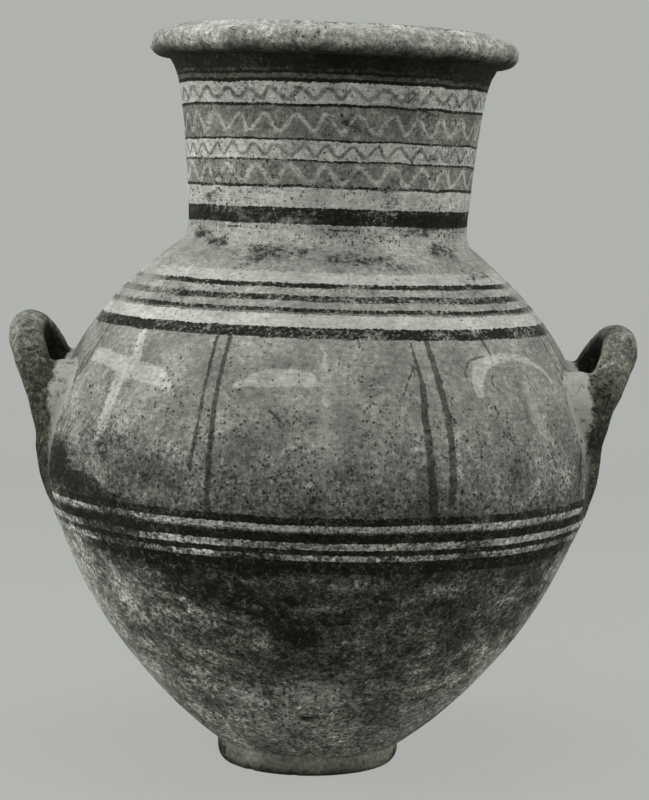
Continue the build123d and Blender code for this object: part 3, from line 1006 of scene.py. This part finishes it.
def scuffed(tree, space, colour, scuffs):
    """Draw pale scuffs: thin broken lines, where the surface was scraped."""
    upright, height, _ = space
    line = add(tree, "ShaderNodeMath", [wander(tree, upright, SCUFF_SPACING, 5, 0.7)], operation="ABSOLUTE")
    line = add(tree, "ShaderNodeMapRange", [line, 0.03, 0.0])
    broken = add(tree, "ShaderNodeMapRange", [wander(tree, upright, SCUFF_BREAK, 6, 0.75), 0.0, 0.12])
    common = add(tree, "ShaderNodeMapRange", [height, *scuffs])
    for share in (broken, common):
        line = add(tree, "ShaderNodeMath", [line, share], operation="MULTIPLY")
    return add(tree, "ShaderNodeMix", {0: line, 6: colour, 7: linear("#9c9d95")}, data_type="RGBA")


def pitted(tree, space, colour, grain, specks):
    """Sink dark pits with ragged edges and of many sizes, in crowds, where grit burnt out or flakes
    came away."""
    upright, height, _ = space
    ragged = add(tree, "ShaderNodeTexNoise", {"Vector": upright, "Scale": 1 / PIT_EDGE, "Detail": 4.0})
    ragged = add(
        tree, "ShaderNodeVectorMath", [ragged.outputs["Color"], (PIT_RAGGEDNESS,) * 3, upright],
        operation="MULTIPLY_ADD",
    )
    pits = add(tree, "ShaderNodeTexVoronoi", {"Vector": ragged, "Scale": 1 / PIT_SPACING}).outputs
    each = add(tree, "ShaderNodeSeparateColor", [pits["Color"]]).outputs
    dark = add(tree, "ShaderNodeMapRange", [each["Green"], 0.0, 1.0, 0.4, 0.9])
    common = add(tree, "ShaderNodeMapRange", [height, *specks])
    crowd = wander(tree, upright, PIT_CROWD, 6, 0.65, 1.6)
    common = add(tree, "ShaderNodeMath", [crowd, common], operation="ADD")
    # The largest pits reach 0.56 of the spacing from their middle.
    size = add(tree, "ShaderNodeMath", [each["Red"], common], operation="ADD")
    size = add(tree, "ShaderNodeMapRange", [size, 0.55, 1.2, 0.0, 0.56])
    depth = add(tree, "ShaderNodeMath", [size, pits["Distance"]], operation="SUBTRACT")
    pit = add(tree, "ShaderNodeMapRange", [depth, -0.08, 0.14], interpolation_type="SMOOTHSTEP")
    pit = add(tree, "ShaderNodeMath", [pit, dark], operation="MULTIPLY")
    colour = add(tree, "ShaderNodeMix", {0: pit, 6: colour, 7: linear("#15150f")}, data_type="RGBA")
    # A pit goes most of the way down through the grain.
    grain = add(tree, "ShaderNodeMath", [pit, -0.8, grain], operation="MULTIPLY_ADD")
    return colour, grain


def weathering(tree, space, colour, mottle, specks, scuffs=(0, 1, 0, 0), streaks=0.0):
    """Cloud, scuff and pit the surface as years of soil and handling do, and say how its grain stands up.

    Mottle, specks and scuffs each give two heights, and at each of them the strength of the
    mottling, or how common dark pits or pale scuffs are.
    """
    colour, grain = mottled(tree, space, colour, mottle, streaks)
    colour = scuffed(tree, space, colour, scuffs)
    return pitted(tree, space, colour, grain, specks)


def slip_wear(tree, space):
    """How far slip has worn off: values about 0 to 1, in small flecks and larger patches."""
    fleck = add(
        tree, "ShaderNodeTexNoise",
        {
            "Vector": space[0], "Scale": 1 / SLIP_FLECK, "Detail": 6.0, "Roughness": 0.68,
            "Distortion": 0.5,
        },
    )
    patch = add(tree, "ShaderNodeTexNoise", {"Vector": space[0], "Scale": 1 / SLIP_PATCH, "Detail": 4.0})
    both = add(tree, "ShaderNodeMath", [patch, 0.5, fleck], operation="MULTIPLY_ADD")
    return add(tree, "ShaderNodeMapRange", [both, 0.55, 0.95], clamp=False)


def band_height(tree, space):
    """Height as the bands follow it: they rise to the right, more so low down, and their edges wander."""
    upright, height, azimuth = space
    # How far the brush wandered up or down, in millimetres.
    swing = 4.0
    rise = add(tree, "ShaderNodeMapRange", [height, 290.0, 560.0, 3.2, 0.9])
    side = add(tree, "ShaderNodeMath", [azimuth], operation="SINE")
    lift = add(tree, "ShaderNodeMath", [rise, side], operation="MULTIPLY")
    level = add(tree, "ShaderNodeMath", [height, lift], operation="SUBTRACT")
    for size, detail in ((BAND_WAVER, 2.0), (BAND_EDGE, 5.0)):
        off = add(tree, "ShaderNodeTexNoise", {"Vector": upright, "Scale": 1 / size, "Detail": detail})
        level = add(tree, "ShaderNodeMath", [off, swing, level], operation="MULTIPLY_ADD")
    return add(tree, "ShaderNodeMath", [level, -swing], operation="ADD")


def cover(tree, amount, wear, most):
    """How much slip is left, from how much was laid and how worn the place is."""
    left = add(tree, "ShaderNodeMath", [amount, wear], operation="SUBTRACT")
    return add(tree, "ShaderNodeMapRange", [left, -0.2, 0.4, 0.0, most], interpolation_type="SMOOTHSTEP")


def slip_bands(tree, space, colour, zones, whiteness=0.9):
    """Lay the thin, white and dark bands over the clay. It gives the height and wear that they follow."""
    settings = bpy.context.scene.storage_jar
    level, wear = band_height(tree, space), slip_wear(tree, space)
    laid = None
    for low, high, bands in zones:
        share = add(tree, "ShaderNodeMapRange", [level, low, high])
        ramp = add(tree, "ShaderNodeValToRGB", [share])
        stops = [(0, BARE), *((at - low, paint) for at, paint in bands)]
        stops = [(at / (high - low), (*paint, 1)) for at, paint in stops]
        set_stops(ramp, stops, "CONSTANT")
        laid = ramp if laid is None else add(
            tree, "ShaderNodeVectorMath", [laid, ramp], operation="MAXIMUM"
        )
    amounts = add(tree, "ShaderNodeSeparateXYZ", [laid])
    thin = add(tree, "ShaderNodeMapRange", [wear, 1.2, 0.2, 0.5, 0.95])
    thin = add(tree, "ShaderNodeMath", [thin, amounts.outputs["Z"]], operation="MULTIPLY")
    layers = (
        (thin, settings.grey_slip),
        (cover(tree, amounts.outputs["X"], wear, whiteness), settings.white_slip),
        (cover(tree, amounts.outputs["Y"], wear, 0.98), settings.dark_slip),
    )
    for left, slip in layers:
        colour = add(tree, "ShaderNodeMix", {0: left, 6: colour, 7: slip}, data_type="RGBA")
    return colour, level, wear


def wavy_lines(tree, space, colour, level, wear, waves):
    """Draw the wavy lines with a full brush, dark on the white bands and pale on the grey ones."""
    settings = bpy.context.scene.storage_jar
    upright, _, azimuth = space
    neck_radius, soft = 150, 1.1
    unsure = add(tree, "ShaderNodeTexNoise", {"Vector": upright, "Scale": 1 / WAVE_WAVER, "Detail": 2.0})
    for height, swing, count, half, pale in waves:
        turn = add(tree, "ShaderNodeMath", [azimuth, float(count)], operation="MULTIPLY")
        turn = add(tree, "ShaderNodeMath", [unsure, 5.0, turn], operation="MULTIPLY_ADD")
        bend = add(tree, "ShaderNodeMath", [turn], operation="SINE")
        line = add(tree, "ShaderNodeMath", [bend, swing, height], operation="MULTIPLY_ADD")
        off = add(tree, "ShaderNodeMath", [level, line], operation="SUBTRACT")
        # The line keeps its width where it is steep. Its slope is read on the neck's mean radius.
        lean = add(tree, "ShaderNodeMath", [turn], operation="COSINE")
        lean = add(tree, "ShaderNodeMath", [lean, swing * count / neck_radius], operation="MULTIPLY")
        steep = add(tree, "ShaderNodeCombineXYZ", [lean, 1.0])
        steep = add(tree, "ShaderNodeVectorMath", [steep], operation="LENGTH").outputs["Value"]
        off = add(tree, "ShaderNodeMath", [off], operation="ABSOLUTE")
        off = add(tree, "ShaderNodeMath", [off, steep], operation="DIVIDE")
        drawn = add(
            tree, "ShaderNodeMapRange", [off, half + soft, half - soft], interpolation_type="SMOOTHSTEP"
        )
        left = add(tree, "ShaderNodeMapRange", [wear, 1.1, 0.4, 0.0, 0.66])
        left = add(tree, "ShaderNodeMath", [drawn, left], operation="MULTIPLY")
        slip = settings.white_slip if pale else settings.dark_slip
        colour = add(tree, "ShaderNodeMix", {0: left, 6: colour, 7: slip}, data_type="RGBA")
    return colour


def brush_strokes(tree, space, colour, wear):
    """Lay the brush strokes of pale and dark slip. The mesh carries where the nearest stroke's middle is
    on the chart, its half width there and how far outside it the mesh point is."""
    settings = bpy.context.scene.storage_jar
    parts = add(tree, "ShaderNodeSeparateXYZ", [space[0]])
    depth = add(tree, "ShaderNodeMath", [parts.outputs["Y"]], operation="ABSOLUTE")
    turn = add(tree, "ShaderNodeMath", [parts.outputs["X"], depth], operation="ARCTAN2")
    across = add(tree, "ShaderNodeMath", [turn, CHART_RADIUS], operation="MULTIPLY")
    place = add(tree, "ShaderNodeCombineXYZ", [across, parts.outputs["Z"], 0.0])
    strokes = (
        ("pale_stroke", settings.white_slip, 0.72, 8.0),
        ("dark_stroke", settings.dark_slip, 0.7, 5.0),
    )
    for mark, slip, most, raggedness in strokes:
        carried = add(tree, "ShaderNodeAttribute", attribute_name=mark).outputs
        half = add(tree, "ShaderNodeSeparateXYZ", [carried["Vector"]]).outputs["Z"]
        away = add(tree, "ShaderNodeVectorMath", [place, carried["Vector"]], operation="SUBTRACT")
        away = add(tree, "ShaderNodeVectorMath", [away, (1.0, 1.0, 0.0)], operation="MULTIPLY")
        away = add(tree, "ShaderNodeVectorMath", [away], operation="LENGTH").outputs["Value"]
        away = add(tree, "ShaderNodeMath", [away, half], operation="SUBTRACT")
        # The middle jumps where two strokes are equally near. There the carried distance is the guide.
        least = add(tree, "ShaderNodeMath", [carried["Alpha"], -2.0], operation="ADD")
        away = add(tree, "ShaderNodeMath", [away, least], operation="MAXIMUM")
        ragged = wander(tree, space[0], STROKE_EDGE, 6, 0.68, raggedness)
        away = add(tree, "ShaderNodeMath", [away, ragged], operation="ADD")
        drawn = add(
            tree, "ShaderNodeMapRange", [away, 0.9, -0.7, 0.0, most], interpolation_type="SMOOTHSTEP"
        )
        left = add(tree, "ShaderNodeMapRange", [wear, 1.3, 0.7])
        left = add(tree, "ShaderNodeMath", [drawn, left], operation="MULTIPLY")
        colour = add(tree, "ShaderNodeMix", {0: left, 6: colour, 7: slip}, data_type="RGBA")
    return colour


def torn_patch(tree, space, colour, amount, edge, shown, tint):
    """Lay a patch with torn edges, drawn out round the jar as the turning was. Patches are stains and crust,
    and in places painted light and shade. What is shown: the levels at which the patch starts and is full,
    and how much it covers there."""
    size, strength, drawn_out, roughness = edge
    scale = (1 / drawn_out, 1 / drawn_out, drawn_out)
    flat = add(tree, "ShaderNodeMapping", {"Vector": space[0], "Scale": scale}, vector_type="POINT")
    torn = wander(tree, flat, size, 10, roughness, strength)
    level = add(tree, "ShaderNodeMath", [amount, torn], operation="ADD")
    start, full, most = shown
    left = add(
        tree, "ShaderNodeMapRange", [level, start, full, 0.0, most], interpolation_type="SMOOTHSTEP"
    )
    near = add(tree, "ShaderNodeMapRange", [amount, 0.02, 0.25])
    left = add(tree, "ShaderNodeMath", [left, near], operation="MULTIPLY")
    return add(tree, "ShaderNodeMix", {0: left, 6: colour, 7: tint}, data_type="RGBA")


def pale_crust_and_side_light(tree, space, colour):
    """Lay the pale patches that the mesh carries, worn clay and, at the sides of the body, partly painted
    light, and the thin chalky crust below the belly bands.
    """
    crust = add(tree, "ShaderNodeMapRange", [space[1], 60.0, 236.0, 0.48, 0.18])
    below = add(tree, "ShaderNodeMapRange", [space[1], 238.0, 226.0])
    # The pale patches, which at the sides of the body are partly painted light.
    worn = add(tree, "ShaderNodeAttribute", attribute_name="pale").outputs["Fac"]
    amount = add(tree, "ShaderNodeMath", [crust, below, worn], operation="MULTIPLY_ADD")
    clay = bpy.context.scene.storage_jar.clay
    return torn_patch(tree, space, colour, amount, PALE_PATCH_EDGE, (0.12, 1.3, 0.85), clay)


def smoke_and_shade(tree, space, colour):
    """Lay the fire-blackening and soil that the mesh carries, which under the rim and below the left
    handle's front root are partly painted shade.
    """
    amount = add(tree, "ShaderNodeAttribute", attribute_name="soot_and_shade").outputs["Fac"]
    soot_and_shade = bpy.context.scene.storage_jar.soot_and_shade
    return torn_patch(tree, space, colour, amount, DARK_PATCH_EDGE, (0.36, 0.84, 0.93), soot_and_shade)


def dry_surface(tree, colour, grain, depth):
    """A matt, dusty earthenware surface whose grain stands up by a depth in millimetres."""
    bump = add(tree, "ShaderNodeBump", {"Height": grain, "Distance": depth * MM, "Strength": 0.9})
    surface = add(
        tree, "ShaderNodeBsdfPrincipled",
        {"Base Color": colour, "Roughness": 0.9, "Normal": bump, "Specular IOR Level": 0.1},
    )
    add(tree, "ShaderNodeOutputMaterial", {"Surface": surface})


def painted_body():
    """Coarse earthenware, coiled and turned, brushed with slip and fired, then scraped and soiled. The
    eye sees dry mottled clay, fine streaks round it, pits, and bands worn thin."""
    material, tree = new_material("slip-painted fired clay body")
    space = upright_space(tree)
    # The clay is darkest round the lower belly and paler up to the shoulder. That is partly fire-blackening
    # and soil, partly painted shade on the lower body, which faces down, and partly painted light on the
    # shoulder, which faces up.
    tones = (
        (22, "#84847b"), (45, "#74746b"), (90, "#606058"), (130, "#47473f"), (185, "#35352f"),
        (230, "#373731"), (236, "#373731"), (284, "#52524b"), (300, "#60605a"), (335, "#70706a"),
        (370, "#7a7a73"), (410, "#7f7f78"), (440, "#84847d"), (470, "#8a8a83"), (515, "#8c8c85"),
        (531, "#999992"),
    )
    colour = tones_by_height(tree, space, tones)
    colour, _, wear = slip_bands(tree, space, colour, BODY_BANDS)
    colour = pale_crust_and_side_light(tree, space, colour)
    colour = brush_strokes(tree, space, colour, wear)
    colour = smoke_and_shade(tree, space, colour)
    colour, grain = weathering(
        tree, space, colour, mottle=(235, 380, 12.5, 5.0), specks=(290, 420, 0.52, -0.02),
        scuffs=(230, 330, 0.5, 0.1), streaks=1.2,
    )
    dry_surface(tree, colour, grain, 0.35)
    return material


def painted_neck():
    """Coarse earthenware, turned smoother than the body and brushed with slip. The eye sees few pits,
    and crisper bands and wavy lines."""
    material, tree = new_material("slip-painted fired clay neck")
    space = upright_space(tree)
    # Up to the rim the clay grows near black: painted shade under the rim's overhang.
    tones = (
        (531, "#9b9b94"), (560, "#8c8c85"), (640, "#74746d"), (680, "#62625a"), (687, "#34342c"),
        (709, "#1e1e18"),
    )
    colour = tones_by_height(tree, space, tones)
    colour, level, wear = slip_bands(tree, space, colour, NECK_BANDS, 0.78)
    colour = wavy_lines(tree, space, colour, level, wear, NECK_WAVES)
    colour = smoke_and_shade(tree, space, pale_crust_and_side_light(tree, space, colour))
    colour, grain = weathering(
        tree, space, colour, mottle=(540, 700, 5.9, 5.9), specks=(540, 700, 0.16, 0.16),
        scuffs=(540, 700, 0.1, 0.1), streaks=1.6,
    )
    dry_surface(tree, colour, grain, 0.25)
    return material


def coarse_clay(name, tones, mottle, specks, depth=0.3, smoked=True):
    """Coarse earthenware left unpainted. Where it was rubbed or handled the eye sees open, blotchy
    grain, and where it is outside it is smoked too."""
    material, tree = new_material(name)
    space = upright_space(tree)
    colour = tones_by_height(tree, space, tones)
    if smoked:
        colour = smoke_and_shade(tree, space, colour)
    colour, grain = weathering(tree, space, colour, mottle, specks)
    dry_surface(tree, colour, grain, depth)
    return material


def handle_clay():
    """Coarse earthenware rolled by hand and never turned. The eye sees dark, gritty clay, and pale, smoother
    clay where it was smeared wet round the roots. Inside the loop the clay is painted near black: painted
    shade."""
    material, tree = new_material("hand-rolled fired clay")
    space = upright_space(tree)
    rolled = tones_by_height(
        tree, space,
        ((290, "#2c2c24"), (350, "#303028"), (390, "#424239"), (415, "#626258"), (455, "#787870")),
    )
    smoothed = tones_by_height(
        tree, space, ((300, "#45453d"), (332, "#7c7c74"), (360, "#a2a29a"), (420, "#b4b4ac"))
    )
    # Painted shade: inside the loop, where the far leg lies in shade, the rolled clay is mixed towards near
    # black.
    inner = add(tree, "ShaderNodeAttribute", attribute_name="inner").outputs["Fac"]
    rolled = add(tree, "ShaderNodeMix", {0: inner, 6: rolled, 7: linear("#17170f")}, data_type="RGBA")
    colour, grain = weathering(
        tree, space, rolled, mottle=(300, 440, 14.0, 11.0), specks=(300, 460, 0.26, 0.2),
        scuffs=(300, 440, 0.2, 0.2),
    )
    share = add(tree, "ShaderNodeAttribute", attribute_name="smeared").outputs["Fac"]
    torn = wander(tree, space[0], SMEAR_EDGE, 8, 0.75, 3.4)
    share = add(tree, "ShaderNodeMath", [share, torn], operation="ADD")
    share = add(
        tree, "ShaderNodeMapRange", [share, 0.35, 1.0, 0.0, 0.85], interpolation_type="SMOOTHSTEP"
    )
    colour = add(tree, "ShaderNodeMix", {0: share, 6: colour, 7: smoothed}, data_type="RGBA")
    dry_surface(tree, colour, grain, 0.5)
    return material


def hidden_clay():
    """Coarse earthenware of the inside, drawn up with the fingers and never painted, so the eye sees
    even, dull clay."""
    tones = ((0, "#6a6a60"), (740, "#74746a"))
    return coarse_clay(
        "unpainted fired clay inside", tones, mottle=(0, 700, 4.0, 4.0), specks=(0, 700, -0.1, -0.1),
        smoked=False,
    )


class BuildFoot(bpy.types.Operator):
    """Turn the low ring foot"""

    bl_idname = "storage_jar.build_foot"
    bl_label = "Ring foot"

    def execute(self, context):
        # The foot darkens towards the ground: painted shade where it meets the floor.
        tones = ((-3, "#26261e"), (3, "#46463b"), (9, "#6c6c61"), (22, "#7a7a70"))
        clay = coarse_clay(
            "rubbed fired clay foot", tones, mottle=(0, 22, 5.0, 5.0), specks=(0, 22, 0.0, 0.0), depth=0.4
        )
        fit_piece(turned_piece("foot_ring_clay", foot_strips(), [clay]), "foot_ring")
        return {"FINISHED"}


class BuildFloor(bpy.types.Operator):
    """Beat out the disc that closes the bottom"""

    bl_idname = "storage_jar.build_floor"
    bl_label = "Floor disc"

    def execute(self, context):
        fit_piece(floor_disc_piece("floor_disc_clay", painted_body()), "floor_disc")
        return {"FINISHED"}


class BuildWalls(bpy.types.Operator):
    """Coil and turn the three stages of the body wall"""

    bl_idname = "storage_jar.build_walls"
    bl_label = "Body wall"

    def execute(self, context):
        clay = [painted_body(), hidden_clay()]
        stages = (
            ("lower_wall", FLOOR_TOP, LOWER_JOINT),
            ("belly_wall", LOWER_JOINT, UPPER_JOINT),
            ("shoulder_wall", UPPER_JOINT, NECK_BASE),
        )
        for node, bottom, top in stages:
            fit_piece(turned_piece(f"{node}_clay", wall_strips(bottom, top), clay), node)
        return {"FINISHED"}


class BuildNeck(bpy.types.Operator):
    """Turn the tall neck"""

    bl_idname = "storage_jar.build_neck"
    bl_label = "Neck"

    def execute(self, context):
        clay = [painted_neck(), hidden_clay()]
        fit_piece(turned_piece("neck_clay_wall", neck_strips(), clay), "neck")
        return {"FINISHED"}


class BuildRim(bpy.types.Operator):
    """Turn the thick rim outwards"""

    bl_idname = "storage_jar.build_rim"
    bl_label = "Rim"

    def execute(self, context):
        # Under the rim's nose the clay is near black: painted shade under its overhang.
        tones = ((709, "#20201a"), (714, "#4b4b43"), (721, "#8c8c84"), (741, "#a3a39c"))
        clay = coarse_clay(
            "worn fired clay rim", tones, mottle=(709, 741, 10.0, 8.5), specks=(709, 741, 0.1, 0.1),
            depth=0.4,
        )
        fit_piece(turned_piece("rim_roll_clay", rim_strips(), [clay]), "rim_roll")
        return {"FINISHED"}


class BuildHandles(bpy.types.Operator):
    """Bend the two loop handles and smear clay round their roots"""

    bl_idname = "storage_jar.build_handles"
    bl_label = "Handles"

    def execute(self, context):
        clay = handle_clay()
        for hand, crown_height in CROWN_HEIGHTS.items():
            handle_pieces(hand, crown_height, HANDLE_SEEDS[hand], clay)
        return {"FINISHED"}


class BuildStage(bpy.types.Operator):
    """Set the floor, backdrop, lights and camera"""

    bl_idname = "storage_jar.build_stage"
    bl_label = "Floor, lights and camera"

    def execute(self, context):
        build_sweep(context.scene.storage_jar.floor)
        build_lights()
        build_camera()
        context.scene.view_settings.view_transform = "Standard"
        return {"FINISHED"}


def build_sweep(colour):
    """A sheet of matt pale paper that lies under the jar and rises behind it. It takes the jar's soft
    shadow, and glows a little to the camera, so that it looks even."""
    across, front, back, top, bend = 7.0, -2.2, 3.2, 4.5, 0.9
    glow, glow_share = 1.03, 0.85
    profile = [(front, 0.0)]
    for turn in np.linspace(0, math.pi / 2, 25):
        profile.append((back - bend + bend * math.sin(turn), bend * (1 - math.cos(turn))))
    profile.append((back, top))
    points = [(side * across / 2, y, z) for y, z in profile for side in (-1, 1)]
    faces = [(2 * i, 2 * i + 1, 2 * i + 3, 2 * i + 2) for i in range(len(profile) - 1)]
    mesh = bpy.data.meshes.new("paper_sweep")
    mesh.from_pydata(points, [], faces)
    mesh.shade_smooth()
    material, tree = new_material("matt pale paper")
    shade = add(tree, "ShaderNodeBsdfDiffuse", {"Color": colour})
    flat = add(tree, "ShaderNodeEmission", {"Color": colour, "Strength": glow})
    seen = add(tree, "ShaderNodeLightPath").outputs
    share = seen["Is Camera Ray"]
    for ray in ("Is Glossy Ray", "Is Transmission Ray"):
        share = add(tree, "ShaderNodeMath", [share, seen[ray]], operation="MAXIMUM")
    share = add(tree, "ShaderNodeMath", [share, glow_share], operation="MULTIPLY")
    mixed = add(tree, "ShaderNodeMixShader", [share, shade, flat])
    add(tree, "ShaderNodeOutputMaterial", {"Surface": mixed})
    mesh.materials.append(material)
    sweep = bpy.data.objects.new("paper_sweep", mesh)
    bpy.context.scene.collection.objects.link(sweep)


def build_lights():
    """Large soft lamps at both sides and overhead, with a weak one in front."""
    # Each lamp: name, place, where it points, width, height and power in watts.
    lamps = (
        ("left_softbox", (-2.3, -0.1, 0.7), (0, 0, 0.38), 1.4, 1.4, 40),
        ("right_softbox", (2.3, 0.2, 0.7), (0, 0, 0.38), 1.2, 1.4, 28),
        ("overhead", (0.0, -0.5, 2.4), (0, 0, 0.4), 1.8, 1.8, 34),
        ("front_fill", (-0.9, -2.6, 1.6), (0, 0, 0.4), 1.6, 1.6, 17),
    )
    for name, place, target, width, height, power in lamps:
        light = bpy.data.lights.new(name, "AREA")
        light.shape, light.size, light.size_y, light.energy = "RECTANGLE", width, height, power
        lamp = bpy.data.objects.new(name, light)
        lamp.location = place
        lamp.rotation_euler = (Vector(target) - Vector(place)).to_track_quat("-Z", "Y").to_euler()
        bpy.context.scene.collection.objects.link(lamp)
    world = bpy.data.worlds.new("studio")
    world.use_nodes = True
    world.node_tree.nodes.clear()
    glow = add(world.node_tree, "ShaderNodeBackground", {"Color": linear("#eef0ee"), "Strength": 0.3})
    add(world.node_tree, "ShaderNodeOutputWorld", {"Surface": glow})
    bpy.context.scene.world = world


def build_camera():
    """A long lens at a little above belly height, turned as the photograph is."""
    place, target = Vector((0.0022, -2.346, 0.590)), Vector((0.0022, 0, 0.369))
    roll = math.radians(1.0)
    camera = bpy.data.cameras.new("camera")
    camera.sensor_fit = "VERTICAL"
    camera.sensor_height = 36
    camera.lens = 104
    holder = bpy.data.objects.new("camera", camera)
    turned = (target - place).to_track_quat("-Z", "Y").to_matrix().to_4x4()
    holder.matrix_world = Matrix.Translation(place) @ turned @ Matrix.Rotation(roll, 4, "Z")
    bpy.context.scene.collection.objects.link(holder)
    bpy.context.scene.camera = holder


OPERATORS = (BuildFoot, BuildFloor, BuildWalls, BuildNeck, BuildRim, BuildHandles, BuildStage)


class StorageJarPanel(bpy.types.Panel):
    """Buttons and settings of the storage jar."""

    bl_idname = "VIEW3D_PT_storage_jar"
    bl_label = "Storage Jar"
    bl_space_type = "VIEW_3D"
    bl_region_type = "UI"
    bl_category = "Storage Jar"

    def draw(self, context):
        for name in StorageJarSettings.__annotations__:
            self.layout.prop(context.scene.storage_jar, name)
        for operator in OPERATORS:
            self.layout.operator(operator.bl_idname)


CLASSES = (StorageJarSettings, *OPERATORS, StorageJarPanel)


def register():
    for kind in CLASSES:
        bpy.utils.register_class(kind)
    bpy.types.Scene.storage_jar = bpy.props.PointerProperty(type=StorageJarSettings)


def unregister():
    del bpy.types.Scene.storage_jar
    for kind in reversed(CLASSES):
        bpy.utils.unregister_class(kind)


def main():
    register()
    for operator in OPERATORS:
        group, name = operator.bl_idname.split(".")
        getattr(getattr(bpy.ops, group), name)()


if __name__ == "__main__":
    main()
